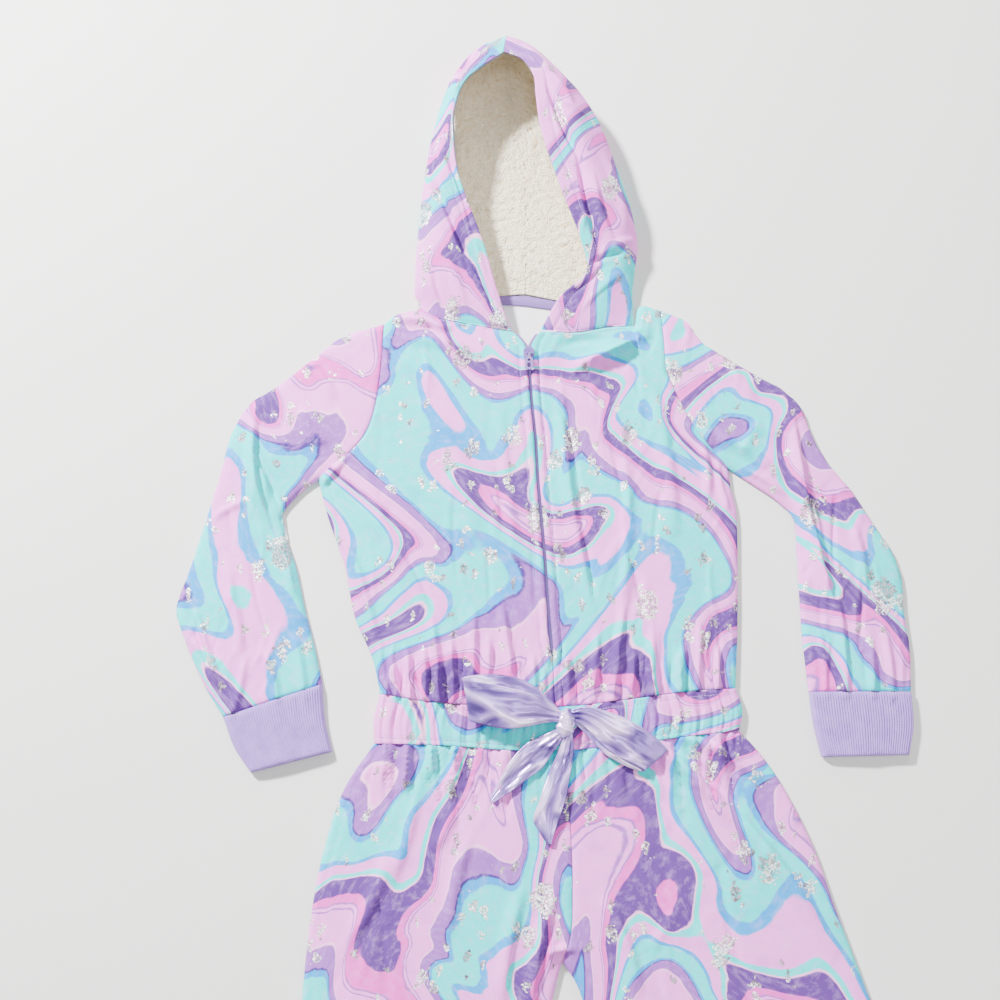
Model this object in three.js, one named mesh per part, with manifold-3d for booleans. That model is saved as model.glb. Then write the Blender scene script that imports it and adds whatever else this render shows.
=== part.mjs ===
// A hooded onesie pajama laid flat on its back, face up. Millimetres, +Z up, +Y toward the hood.
// "Left" and "right" are the wearer's, so the wearer's left lies on the +X side.
import * as THREE from "three";
import { mergeVertices } from "three/addons/utils/BufferGeometryUtils.js";
import Module from "manifold-3d";

const wasm = await Module();
wasm.setup();

// The tables are measured from the middle of the chest; the part's origin lies here among them.
const ORIGIN = { x: 52.35, y: -290 };

const GAP = 0.3; // between two pieces at a seam
const JERSEY = 1.2; // printed knit
const CASING = 2.2; // two layers of knit over the waist elastic
const RIB = 2.2; // cuff knit
const FLEECE = 3; // hood lining
const RIBBON = 1;
const TAPE = 0.8;

// How the upper layer rises from the folded edge of the flat garment.
const EDGE = { height: 2.7, bend: 12, rise: 4.3, swell: 2.6, reach: 70 };
const NECK_RISE = { height: 3.2, reach: 70 };

const COLOURS = {
  print: 0xb79bdc,
  lavender: 0xb08fd8,
  fleece: 0xf1e9e2,
  satin: 0xcdb6e0,
  zip: 0xc5a6ea,
};

// Seam and edge lines in plan, each a row of x, y points joined by a smooth curve.
const LINES = {
  neckRight: [[-86, 207], [-63, 195], [-31, 187], [12, 178]],
  neckLeft: [[141, 187], [115, 185], [78, 178], [42, 179]],
  hoodSeam: [[27, 215], [27, 285], [27, 330], [26, 370], [24, 400], [20, 425], [12, 445]],
  neckBackRight: [[-86, 207], [-42, 214], [13, 216], [27, 215]],
  neckBackLeft: [[141, 187], [105, 204], [59, 210], [27, 215]],
  shoulderRight: [[-121, 190], [-110, 200], [-86, 207]],
  shoulderLeft: [[168, 206], [147, 210], [141, 187]],
  armholeRight: [[-121, 190], [-123, 131], [-127, 97], [-135, 69], [-149, 50], [-166, 37], [-182, 20]],
  armholeLeft: [[168, 206], [170, 166], [171, 135], [182, 106], [194, 79], [207, 60], [230, 31]],
  sideRight: [[-182, 20], [-179, 9], [-170, -21], [-152, -69], [-141, -116], [-121, -161], [-114, -191]],
  sideLeft: [[230, 31], [231, 12], [235, -12], [233, -69], [229, -132], [225, -174], [224, -186]],
  waistTop: [[-114, -191], [-66, -199], [-21, -202], [62, -203], [125, -196], [180, -189], [224, -186]],
  waistBottom: [[-118, -237], [-48, -239], [9, -243], [65, -243], [124, -237], [178, -230], [225, -225]],
  casingRight: [[-114, -191], [-119, -214], [-118, -237]],
  casingLeft: [[224, -186], [229, -206], [225, -225]],
  rise: [[59, -243], [63, -290], [65, -331], [65, -372], [63, -402], [55, -425]],
  outerHipRight: [[-118, -237], [-144, -277], [-160, -328], [-168, -372], [-173, -425]],
  outerLegRight: [[-173, -425], [-176, -480], [-186, -600], [-196, -740], [-199, -900], [-199, -1085]],
  innerLegRight: [[55, -425], [49, -445], [42, -475], [22, -570], [-5, -740], [-26, -900], [-49, -1085]],
  outerHipLeft: [[225, -225], [244, -247], [263, -277], [286, -328], [301, -378], [316, -425]],
  outerLegLeft: [[316, -425], [331, -475], [350, -590], [369, -715], [393, -880], [417, -1056]],
  innerLegLeft: [[55, -425], [67, -442], [80, -480], [105, -570], [181, -765], [226, -930], [272, -1094]],
  hemRight: [[-199, -1085], [-49, -1085]],
  hemLeft: [[417, -1056], [272, -1094]],
  sleeveOuterRight: [
    [-121, 190], [-165, 174], [-197, 148], [-229, 120], [-256, 100], [-272, 69],
    [-282, 21], [-293, -27], [-303, -69], [-313, -110], [-303, -140], [-281, -183], [-261, -213],
  ],
  sleeveInnerRight: [
    [-182, 20], [-199, 7], [-217, -18], [-213, -34], [-200, -69], [-190, -107], [-178, -147], [-169, -182],
  ],
  sleeveEndRight: [[-261, -213], [-169, -182]],
  sleeveOuterLeft: [
    [168, 206], [194, 192], [210, 169], [235, 152], [260, 135], [289, 117], [307, 97],
    [317, 65], [330, 38], [351, 9], [369, -24], [385, -53],
    [392, -82], [391, -116], [393, -147], [390, -189],
  ],
  sleeveInnerLeft: [
    [230, 31], [253, 15], [276, -2], [291, -20], [292, -53], [291, -101], [291, -147], [293, -189],
  ],
  sleeveEndLeft: [[390, -189], [293, -189]],
  cuffOuterRight: [[-261, -213], [-249, -240], [-232, -263]],
  cuffInnerRight: [[-169, -182], [-165, -215], [-157, -244]],
  cuffEndRight: [[-232, -263], [-157, -244]],
  cuffOuterLeft: [[390, -189], [389, -220], [382, -247]],
  cuffInnerLeft: [[293, -189], [295, -220], [300, -249]],
  cuffEndLeft: [[382, -247], [300, -249]],
};

// The folded edges of the flat garment, where the upper layer turns down to the lower one.
const FOLDED_EDGES = [
  "shoulderRight", "shoulderLeft", "sideRight", "sideLeft", "casingRight", "casingLeft",
  "outerHipRight", "outerLegRight", "innerLegRight", "outerHipLeft", "outerLegLeft", "innerLegLeft",
  "sleeveOuterRight", "sleeveInnerRight", "sleeveOuterLeft", "sleeveInnerLeft",
  "cuffOuterRight", "cuffInnerRight", "cuffOuterLeft", "cuffInnerLeft",
];

// The zip: y, x of its middle, and how far the right and left front edges lie from it.
const ZIP = [
  { y: 178, x: 27, right: 15, left: 15 },
  { y: 171, x: 28, right: 9, left: 9 },
  { y: 163, x: 29, right: 3.6, left: 3.6 },
  { y: 155, x: 29.5, right: 1.7, left: 1.7 },
  { y: 139, x: 30, right: 1.6, left: 1.6 },
  { y: 104, x: 32, right: 1.6, left: 1.6 },
  { y: 60, x: 36, right: 1.6, left: 1.6 },
  { y: 15, x: 38, right: 1.6, left: 1.6 },
  { y: -23, x: 41, right: 1.6, left: 1.6 },
  { y: -63, x: 44, right: 1.6, left: 1.6 },
  { y: -103, x: 46, right: 1.6, left: 1.6 },
  { y: -147, x: 49, right: 1.6, left: 1.6 },
  { y: -158, x: 50, right: 0.15, left: 0.15 },
  { y: -203, x: 52, right: 0.15, left: 0.15 },
];
const ZIP_END = -152;
const CENTRE_FRONT = { top: 52, bottom: 59 };
const ZIP_TAPE_REACH = 12;

// Creases of the upper layer. Each runs from (x1, y1) to (x2, y2), bowed sideways, as a ridge of the
// height and half width given, below 0 for a trough. Lean steepens its one side. "Ends" says where it
// fades: at both ends, or only where it starts.
const CREASE_COLUMNS = ["x1", "y1", "x2", "y2", "bow", "half", "height", "lean", "ends"];
const CREASES = [
  [62, 147, 96, -138, -9, 9, 2.6, 0.35, "both"],
  [123, 75, 113, -141, 6, 8, 2, -0.3, "both"],
  [202, 64, 206, -8, 3, 7, 2.2, 0, "both"],
  [216, 52, 230, -26, -3, 5, 1.4, 0, "both"],
  [72, 140, 150, 175, -4, 9, 2.8, 0.5, "both"],
  [58, 160, 120, 168, 5, 8, -1.6, 0, "both"],
  [-150, 190, -60, 186, 6, 8, 1.8, 0, "both"],
  [-109, 172, -31, 156, 5, 10, 1.6, 0.3, "both"],
  [-88, 120, -20, -60, 14, 16, 1.6, 0, "both"],
  [-140, 40, -60, -110, -10, 14, 1.9, 0.2, "both"],
  [0, 110, 22, -70, -4, 9, 1.2, 0.2, "both"],
  [150, 140, 170, -60, 8, 13, 1.9, 0.2, "both"],
  [-160, -22, -112, -165, 4, 7, 1.5, 0, "both"],
  [-149, 50, -219, -10, 8, 8, 2.2, 0.3, "both"],
  [-247, 103, -223, -38, -10, 9, 4, 0.55, "both"],
  [-255, 60, -230, -10, 6, 7, 2, 0, "both"],
  [-296, -98, -256, -195, -3, 6, 2, 0.4, "both"],
  [-263, -88, -246, -165, 4, 7, 2, 0, "both"],
  [-227, -145, -210, -192, 2, 6, 2, 0, "start"],
  [-242, -150, -250, -206, 2, 6, 1.8, 0, "start"],
  [-200, -130, -185, -188, 2, 6, 1.6, 0, "start"],
  [-286, -23, -246, -2, 3, 6, 1.5, 0, "both"],
  [-210, 152, -165, 98, 6, 10, 1.8, 0.2, "both"],
  [-206, -48, -195, -105, -3, 6, 1.8, 0.2, "both"],
  [-270, -60, -262, -120, 5, 8, 1.5, 0, "both"],
  [195, 74, 290, 14, 9, 10, 2.4, 0.4, "both"],
  [297, 109, 330, -141, -9, 10, 4.2, 0.55, "both"],
  [325, -90, 326, -189, 2, 7, 2.4, 0.3, "start"],
  [304, 19, 313, -66, 3, 6, 2, 0, "both"],
  [352, -130, 351, -189, 2, 6, 2, 0, "start"],
  [366, -120, 370, -189, 2, 6, 1.7, 0, "start"],
  [306, -125, 307, -189, 1, 5, 1.6, 0, "start"],
  [240, 32, 286, 0, 3, 6, 1.7, 0, "both"],
  [345, -20, 350, -104, 5, 8, 2.2, 0, "both"],
  [225, 140, 262, 96, 6, 11, 1.8, 0, "both"],
  [92, -243, 133, -325, 4, 8, 2.4, 0.2, "end"],
  [101, -241, 169, -322, 5, 7, -1.8, 0, "end"],
  [144, -236, 306, -432, 16, 12, 3.2, 0.4, "end"],
  [177, -232, 252, -278, 5, 8, 2.4, 0.2, "end"],
  [160, -236, 236, -334, 6, 8, -1.8, 0, "end"],
  [90, -362, 124, -460, 6, 10, 2.6, 0.3, "both"],
  [-95, -318, -140, -420, 5, 10, 2.2, 0.2, "both"],
  [-40, -284, -64, -336, 3, 8, 1.8, 0, "both"],
  [-26, -310, -45, -412, -4, 9, 2.2, 0.2, "both"],
  [24, -352, 2, -470, -5, 10, 2.6, 0.3, "both"],
  [53, -356, 26, -475, -4, 8, 3, 0.5, "both"],
  [-74, -259, -108, -378, 6, 9, 2, 0, "both"],
  [38, -418, 70, -414, 2, 6, 2.2, 0, "both"],
  [43, -436, 52, -398, 3, 5, 1.8, 0, "both"],
  [120, -470, 190, -640, 12, 16, 2.8, 0.2, "both"],
  [230, -520, 262, -700, -12, 16, 2.4, -0.2, "both"],
  [195, -735, 300, -770, 10, 12, 2.6, 0.3, "both"],
  [240, -800, 330, -850, -8, 12, 2.2, 0.3, "both"],
  [300, -900, 335, -1050, 8, 14, 2.2, 0, "both"],
  [-70, -470, -110, -650, -12, 16, 2.6, 0.2, "both"],
  [0, -520, -40, -690, 10, 13, 2.4, -0.2, "both"],
  [-170, -745, -60, -770, -10, 12, 2.6, 0.3, "both"],
  [-160, -830, -80, -870, 8, 12, 2, 0.3, "both"],
  [-120, -900, -125, -1060, 8, 14, 2.2, 0, "both"],
];

// Gathers held by the waist casing: where each starts on the bodice or the hip, where it meets the
// casing, its half width and its height.
const GATHER_COLUMNS = ["x1", "y1", "x2", "y2", "half", "height"];
const GATHERS = [
  [-115, -141, -107, -193, 5, 1.8], [-103, -152, -97, -198, 5, 2.2], [-88, -148, -84, -199, 5, 2.4],
  [-73, -138, -69, -200, 6, 2.6], [-66, -112, -56, -201, 6, 3], [-48, -131, -42, -202, 6, 2.6],
  [-25, -102, -25, -203, 6, 2.8], [-12, -131, -9, -203, 6, 2.3], [0, -92, 15, -204, 6, 3],
  [31, -150, 33, -204, 6, 2.3], [64, -150, 66, -204, 6, 2.2], [94, -126, 86, -203, 6, 2.8],
  [120, -100, 106, -200, 6, 2.8], [128, -141, 124, -198, 5, 2.4], [146, -124, 143, -195, 6, 2.8],
  [176, -141, 168, -192, 6, 2.4], [192, -128, 185, -190, 6, 2.6], [210, -141, 204, -189, 5, 2],
  [-107, -270, -106, -236, 5, 2], [-89, -284, -84, -238, 6, 2.6], [-68, -272, -63, -239, 6, 2.2],
  [-47, -292, -42, -240, 6, 2.8], [-25, -276, -21, -241, 6, 2.2], [-4, -292, 4, -242, 6, 2.6],
  [25, -280, 27, -243, 6, 2.2], [44, -272, 45, -243, 5, 2], [77, -292, 70, -243, 6, 2.6],
  [128, -268, 120, -238, 6, 2], [212, -262, 200, -229, 6, 2.2],
];

// Small ripples across the elastic waist, and how far its casing stands above the cloth beside it.
const RIPPLES = { count: 27, height: 1.1 };
const CASING_LIFT = 1.5;

const RIBS = { count: 38, height: 0.5 };
const CUFF_EDGE = 4.8;
const CUFF_LOFT = 0.75;

// The hood's stations from the neck seam to the crown: a point on its outline and one on its face rim.
// Its centre seam runs up the floor between its halves.
const STATION_COLUMNS = ["outX", "outY", "outZ", "rimX", "rimY", "rimZ"];
const HOOD_RIGHT = [
  [-86, 207, 3, 12, 178, 13], [-88, 232, 10.5, -3, 220, 21], [-87, 280, 14, -18, 272, 30],
  [-83, 330, 20, -34, 314, 38], [-75, 385, 25, -45, 346, 44], [-62, 440, 27, -50, 378, 50],
  [-45, 478, 29, -50, 411, 54], [-22, 502, 32, -36, 448, 57], [8, 514, 34, 4, 481, 58],
];
const HOOD_LEFT = [
  [141, 187, 3, 42, 179, 13], [137, 215, 9, 62, 214, 17], [141, 245, 11, 90, 242, 22],
  [145, 275, 14, 83, 278, 30], [140, 312, 18, 69, 314, 38], [127, 356, 22, 54, 355, 46],
  [110, 408, 26, 43, 392, 51], [90, 446, 28, 38, 430, 55], [64, 475, 30, 36, 452, 57],
  [36, 502, 32, 24, 472, 58], [8, 514, 34, 4, 481, 58],
];
const LINING_DEPTH = JERSEY + 0.5;
const HOOD_ROWS = 12;
const HOOD_FLOOR_STEPS = 6;
const HOOD_FLAP_STEPS = 8;
// Creases of the hood's upper side: station share, across share, reach along, reach across, height.
const HOOD_CREASES = {
  right: [[0.42, 0.75, 0.2, 0.1, 2.6], [0.25, 0.6, 0.14, 0.1, 2.2], [0.75, 0.7, 0.1, 0.08, 1.8]],
  left: [
    [0.6, 0.72, 0.2, 0.1, 3], [0.32, 0.62, 0.12, 0.1, 2.4],
    [0.85, 0.75, 0.08, 0.08, 1.8], [0.12, 0.7, 0.07, 0.1, 1.6],
  ],
};

// The bow's ribbon, section by section: its middle, the plan direction of its width in degrees, half
// its width, how much its +width edge is lifted, and how high its middle is puffed.
const RIBBON_COLUMNS = ["x", "y", "z", "turn", "half", "tilt", "puff"];
const BOW = {
  bow_loop_right: [
    [57, -213, 15.6, 66, 4, 0, 0.5], [38, -201, 16.4, 74, 10, 0, 1], [20, -194, 17, 80, 15, 0, 1],
    [-4, -192, 17.6, 88, 18, 0, 0.8], [-24, -194, 18.4, 96, 19, 1, 0.6], [-32, -197, 21.4, 100, 19, 2, 0.3],
    [-25, -200, 25, 98, 19, 2, 0.8], [-8, -203, 26.4, 92, 19.5, 1, 2], [12, -206, 26.4, 84, 18, 0, 2.2],
    [32, -208, 24.6, 74, 14, 0, 2], [46, -211, 21.6, 68, 8, 0, 1.2],
    [57, -213, 18.8, 64, 5, 0, 0.5],
  ],
  bow_loop_left: [
    [64, -212, 14.8, 100, 4, 0, 0.3], [76, -216, 14.8, 84, 8, 0, 0.5],
    [89, -222, 15.4, 60, 12, 0, 0.6], [108, -234, 15.4, 48, 17, 0, 0.8],
    [128, -246, 14.8, 40, 17, 0, 0.6], [140, -252, 16, 38, 15.5, 0, 0.4], [142, -251, 18.6, 38, 15, 0, 0.3],
    [128, -241, 20.4, 42, 17, 0, 0.8], [108, -229, 21.4, 50, 17, 1, 1.2], [90, -218, 21.4, 64, 12, 2, 1.2],
    [76, -212, 20.2, 90, 8, 1, 0.8], [65, -212, 18.8, 100, 4, 0, 0.4],
  ],
  bow_tail_right: [
    [57, -225, 15.8, -48, 3.4, 0, 0.6], [50, -232, 15.4, -48, 7, 0, 0.8],
    [41, -239, 14.8, -46, 10, 0, 1], [30, -249, 14.2, -46, 13, 0, 1],
    [16, -262, 13.6, -46, 11, 0, 0.8], [4, -275, 13.2, -44, 7, 0, 0.5], [-8, -288, 12.8, -40, 2.4, 0, 0.2],
  ],
  bow_tail_left: [
    [63.5, -227, 16.8, 8, 3, 0, 0.6], [62, -237, 16, 8, 6, 0, 1.2],
    [59, -250, 15, 6, 8.5, 0.8, 2], [53, -268, 14.6, 6, 11, 1, 2.4],
    [48, -286, 14.2, 4, 12, 1, 2], [42, -303, 13.8, 2, 12, 1, 1.4], [42, -315, 13.6, -8, 7, 0.5, 0.8],
    [44, -325, 13.4, -16, 2.4, 0, 0.2],
  ],
};
const KNOT = { x: 61, y: -219, z: 17.9, halfX: 8.6, halfY: 14, halfZ: 5.2, turn: -0.25 };

const SLIDER = { x: 29.6, y: 151, halfWidth: 5, front: 8, back: 3.6, height: 3 };
const EAR = { radius: 1.5, inner: 1.6, outer: 2.6, centre: 1.9 };
const PULL = {
  length: 17, halfWidth: 4, thickness: 1.2, slope: 9, neck: 1.3,
  holes: [{ y: -7, halfX: 1.4, halfY: 1.3 }, { y: -12.3, halfX: 2, halfY: 2.6 }],
};

const mix = (a, b, t) => a + (b - a) * t;
const clamp = (value, low, high) => Math.min(Math.max(value, low), high);
const ease = (value) => {
  const t = clamp(value, 0, 1);
  return t * t * (3 - 2 * t);
};
const add = (a, b, scale = 1) => [a[0] + b[0] * scale, a[1] + b[1] * scale, a[2] + b[2] * scale];
const cross = (a, b) => [
  a[1] * b[2] - a[2] * b[1],
  a[2] * b[0] - a[0] * b[2],
  a[0] * b[1] - a[1] * b[0],
];
const unit = (a) => {
  const length = Math.hypot(...a) || 1;
  return a.map((value) => value / length);
};
const named = (columns, rows) =>
  rows.map((row) => Object.fromEntries(columns.map((column, i) => [column, row[i]])));
const steps = (count, from = 0, to = 1) =>
  Array.from({ length: count + 1 }, (_, i) => mix(from, to, i / count));

// A smooth curve through plan points, as a function of its length share.
function smoothLine(points) {
  const curve = new THREE.CatmullRomCurve3(
    points.map(([x, y]) => new THREE.Vector3(x, y, 0)), false, "centripetal");
  return (share) => {
    const point = curve.getPointAt(clamp(share, 0, 1));
    return [point.x, point.y];
  };
}

const LINE = Object.fromEntries(
  Object.entries(LINES).map(([name, points]) => [name, smoothLine(points)]));

// Two lines end to end as one, the first up to the given share.
const joined = (first, second, corner) => (share) =>
  share <= corner ? first(share / corner) : second((share - corner) / (1 - corner));

// The stretch of a line between two of its shares.
const stretch = (line, from, to) => (share) => line(mix(from, to, share));

function shareAtX(line, x) {
  let [low, high] = [0, 1];
  for (let i = 0; i < 40; i += 1) {
    const middle = (low + high) / 2;
    if (line(middle)[0] < x) low = middle;
    else high = middle;
  }
  return low;
}

// The halves of the two waist seams, each from its side edge to the centre front.
for (const [name, x] of [["waistTop", CENTRE_FRONT.top], ["waistBottom", CENTRE_FRONT.bottom]]) {
  const middle = shareAtX(LINE[name], x);
  LINE[name + "Right"] = stretch(LINE[name], 0, middle);
  LINE[name + "Left"] = stretch(LINE[name], 1, middle);
}

const EDGE_SEGMENTS = FOLDED_EDGES.flatMap((name) => {
  const points = steps(24).map((share) => LINE[name](share));
  return points.slice(1).map((end, i) => [...points[i], ...end]);
});

function edgeDistance(x, y) {
  let nearest = Infinity;
  for (const [ax, ay, bx, by] of EDGE_SEGMENTS) {
    const dx = bx - ax;
    const dy = by - ay;
    const t = clamp(((x - ax) * dx + (y - ay) * dy) / (dx * dx + dy * dy), 0, 1);
    const gapX = x - ax - dx * t;
    const gapY = y - ay - dy * t;
    nearest = Math.min(nearest, gapX * gapX + gapY * gapY);
  }
  return Math.sqrt(nearest);
}

const creases = [
  ...named(CREASE_COLUMNS, CREASES),
  ...named(GATHER_COLUMNS, GATHERS).map((row) => ({ ...row, bow: 0, lean: 0.15, ends: "start" })),
];

// Height that one crease adds at a point.
function creaseHeight(crease, x, y) {
  const dx = crease.x2 - crease.x1;
  const dy = crease.y2 - crease.y1;
  const length = Math.hypot(dx, dy);
  const along = ((x - crease.x1) * dx + (y - crease.y1) * dy) / (length * length);
  const past = crease.ends === "both" ? 1 : 1 + 8 / length;
  const before = crease.ends === "end" ? -8 / length : 0;
  if (along <= before || along >= past) return 0;
  const bowed = crease.bow * Math.sin(Math.PI * clamp(along, 0, 1));
  const across = ((x - crease.x1) * -dy + (y - crease.y1) * dx) / length - bowed;
  const widened = across > 0 ? crease.half * (1 - crease.lean) : crease.half * (1 + crease.lean);
  if (Math.abs(across) >= widened) return 0;
  const profile = 0.5 + 0.5 * Math.cos((Math.PI * across) / widened);
  const fadeIn = crease.ends === "end" ? 1 : ease(along / 0.35);
  const fadeOut = crease.ends === "start" ? 1 : ease((1 - along) / 0.35);
  return crease.height * profile * fadeIn * fadeOut;
}

// Outer height of the upper layer at a plan point.
function topHeight(x, y) {
  const distance = edgeDistance(x, y);
  const bend = clamp(distance / EDGE.bend, 0, 1);
  const round = EDGE.rise * Math.sqrt(1 - (1 - bend) ** 2);
  const swell = EDGE.swell * ease(distance / EDGE.reach);
  const neck = NECK_RISE.height * ease(1 - Math.hypot(x - 27, y - 185) / NECK_RISE.reach);
  let folds = 0;
  for (const crease of creases) folds += creaseHeight(crease, x, y);
  return EDGE.height + round + swell + (neck + folds) * ease(distance / 9);
}

function slopeNormal(height, x, y) {
  const step = 0.8;
  const dx = (height(x + step, y) - height(x - step, y)) / (2 * step);
  const dy = (height(x, y + step) - height(x, y - step)) / (2 * step);
  return unit([-dx, -dy, 1]);
}

// A patch between four lines: start and end run along u, near and far along v. The start line's bend
// fades into the patch, the sooner the higher the fade.
function patch(start, end, near, far, fade = 1) {
  const corners = [start(0), start(1), end(0), end(1)];
  return (u, v) =>
    [0, 1].map((axis) => {
      const startBend = start(u)[axis] - mix(corners[0][axis], corners[1][axis], u);
      const endBend = end(u)[axis] - mix(corners[2][axis], corners[3][axis], u);
      return mix(near(v)[axis], far(v)[axis], u) + startBend * (1 - v) ** fade + endBend * v;
    });
}

// Plan points moved half the seam gap off their own line, toward the patch's middle.
function drawnIn(points, middle) {
  return points.map((point, i) => {
    const before = points[Math.max(i - 1, 0)];
    const after = points[Math.min(i + 1, points.length - 1)];
    const normal = unit([after[1] - before[1], before[0] - after[0], 0]);
    const facing = normal[0] * (middle[0] - point[0]) + normal[1] * (middle[1] - point[1]);
    const side = facing > 0 ? 1 : -1;
    return [point[0] + (side * normal[0] * GAP) / 2, point[1] + (side * normal[1] * GAP) / 2];
  });
}

// Plan rows of a patch. A row list says at which v shares and u shares; "seams" tells which of its
// borders are drawn in: first row, last row, near side or far side up to a row.
function planRows(shape, rowList, seams) {
  const rows = rowList.map(({ v, us }) => us.map((u) => shape(u, v)));
  const middle = shape(0.5, 0.5);
  if (seams.first) rows[0] = drawnIn(rows[0], middle);
  if (seams.last) rows[rows.length - 1] = drawnIn(rows[rows.length - 1], middle);
  for (const [side, count] of Object.entries({ near: seams.near, far: seams.far })) {
    if (!count) continue;
    const pick = (row) => (side === "near" ? 0 : row.length - 1);
    const moved = drawnIn(rows.slice(0, count).map((row) => row[pick(row)]), middle);
    moved.forEach((point, i) => {
      rows[i][pick(rows[i])] = point;
    });
  }
  return rows;
}

// Collects points and triangles of one closed solid. A row is a list of runs, each run a list of
// points that starts where the run before it ended.
class Shell {
  constructor() {
    this.points = [];
    this.faces = [];
  }

  number(row, closed) {
    const ids = row.map((run, k) =>
      run.map((point, i) => {
        if (k > 0 && i === 0) return -1;
        if (closed && k === row.length - 1 && i === run.length - 1) return -2;
        this.points.push(point);
        return this.points.length - 1;
      }));
    ids.forEach((run, k) => {
      if (run[0] === -1) run[0] = ids[k - 1][ids[k - 1].length - 1];
      if (run[run.length - 1] === -2) run[run.length - 1] = ids[0][0];
    });
    return ids;
  }

  shares(run) {
    const lengths = [0];
    for (let i = 1; i < run.length; i += 1) {
      const a = this.points[run[i - 1]];
      const b = this.points[run[i]];
      lengths.push(lengths[i - 1] + Math.hypot(a[0] - b[0], a[1] - b[1], a[2] - b[2]));
    }
    return lengths.map((length) => length / lengths[lengths.length - 1]);
  }

  strip(a, b, flip) {
    const same = a.length === b.length;
    const shareA = same ? a.map((_, i) => i) : this.shares(a);
    const shareB = same ? b.map((_, i) => i) : this.shares(b);
    let i = 0;
    let j = 0;
    while (i < a.length - 1 || j < b.length - 1) {
      const useA = j === b.length - 1 || (i < a.length - 1 && shareA[i + 1] <= shareB[j + 1]);
      const face = useA ? [a[i], a[i + 1], b[j]] : [a[i], b[j + 1], b[j]];
      this.faces.push(flip ? [face[0], face[2], face[1]] : face);
      if (useA) i += 1;
      else j += 1;
    }
  }

  sheet(rows, flip) {
    for (let r = 1; r < rows.length; r += 1) {
      rows[r].forEach((run, k) => this.strip(rows[r - 1][k], run, flip));
    }
  }

  volume() {
    let total = 0;
    for (const [a, b, c] of this.faces) {
      const side = cross(this.points[b], this.points[c]);
      const base = this.points[a];
      total += side[0] * base[0] + side[1] * base[1] + side[2] * base[2];
    }
    return total / 6;
  }

  mesh(name, colour, roughness, metalness = 0) {
    const inside = this.volume() < 0;
    const geometry = new THREE.BufferGeometry();
    const flat = this.points.flatMap(([x, y, z]) => [x - ORIGIN.x, y - ORIGIN.y, z]);
    geometry.setAttribute("position", new THREE.Float32BufferAttribute(flat, 3));
    geometry.setIndex(this.faces.flatMap(([a, b, c]) => (inside ? [a, c, b] : [a, b, c])));
    geometry.computeVertexNormals();
    const material = new THREE.MeshStandardMaterial({ color: colour, roughness, metalness });
    const mesh = new THREE.Mesh(geometry, material);
    mesh.name = name;
    return mesh;
  }
}

// A wall between an outer and an inner sheet, or a tube's wall when its rows are closed.
function wall(outer, inner, closed = false) {
  const shell = new Shell();
  const out = outer.map((row) => shell.number(row, closed));
  const into = inner.map((row) => shell.number(row, closed));
  shell.sheet(out, false);
  shell.sheet(into, true);
  const last = out.length - 1;
  out[0].forEach((run, k) => shell.strip(into[0][k], run, false));
  out[last].forEach((run, k) => shell.strip(run, into[into.length - 1][k], false));
  if (!closed) {
    const border = (rows, pick) => rows.map(pick);
    const first = (row) => row[0][0];
    const final = (row) => row[row.length - 1][row[row.length - 1].length - 1];
    shell.strip(border(out, first), border(into, first), false);
    shell.strip(border(into, final), border(out, final), false);
  }
  return shell;
}

const raised = (rows, height) => rows.map((row) => row.map(([x, y]) => [x, y, height(x, y)]));

// The inner points under an upper layer. Border points on seams go straight down; those on a folded
// edge go in and rest just over the layer below.
function underside(rows, height, thickness, floor, border) {
  const last = rows.length - 1;
  return rows.map((row, r) =>
    row.map((point, c) => {
      const [x, y, z] = point;
      const normal = slopeNormal(height, x, y);
      const end = row.length - 1;
      const kind = c === 0 ? border.near(r) : c === end ? border.far(r) : "open";
      if (kind === "edge") {
        const next = row[c === 0 ? 1 : end - 1];
        const inward = unit([next[0] - x, next[1] - y, 0]);
        return [x + inward[0] * thickness, y + inward[1] * thickness, floor];
      }
      if (kind === "seam" || r === 0 || r === last) {
        return [x, y, Math.max(z - thickness / Math.max(normal[2], 0.6), floor)];
      }
      const moved = add(point, normal, -thickness);
      return [moved[0], moved[1], Math.max(moved[2], floor)];
    }));
}

const oneRun = (rows) => rows.map((row) => [row]);

// Shares along an armhole, closer together at the shoulder and under the arm.
const ARMHOLE_SHARES = [0, 0.02, 0.06, 0.14, 0.26, 0.4, 0.54, 0.68, 0.8, 0.9, 0.96, 1];
const ARMHOLE_END = 0.46;
const ARMHOLE_FADE = 7;
const SIDE_STEPS = 10;
const SHOULDER_END = 0.3;
const BODICE_COLUMNS = [0, 0.012, 0.036, 0.09, 0.18, ...steps(8, SHOULDER_END, 1)];
const WAIST_COLUMNS = [0, 0.012, 0.036, ...steps(29, 0.06, 1)];
const WAIST_FROM = 0.72;

// Half the gap between the front edges at a height up the zip, and the x of its middle there.
function zipAt(y, side) {
  const below = clamp(ZIP.findIndex((row) => row.y <= y), 1, ZIP.length - 1);
  const [a, b] = [ZIP[below - 1], ZIP[below]];
  const t = clamp((a.y - y) / (a.y - b.y), 0, 1);
  return { x: mix(a.x, b.x, t), half: mix(a[side], b[side], t) };
}

const zipEdge = (side) => (share) => {
  const y = mix(ZIP[0].y, ZIP[ZIP.length - 1].y, share);
  const { x, half } = zipAt(y, side);
  return [x + (side === "right" ? -half : half), y];
};

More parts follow.
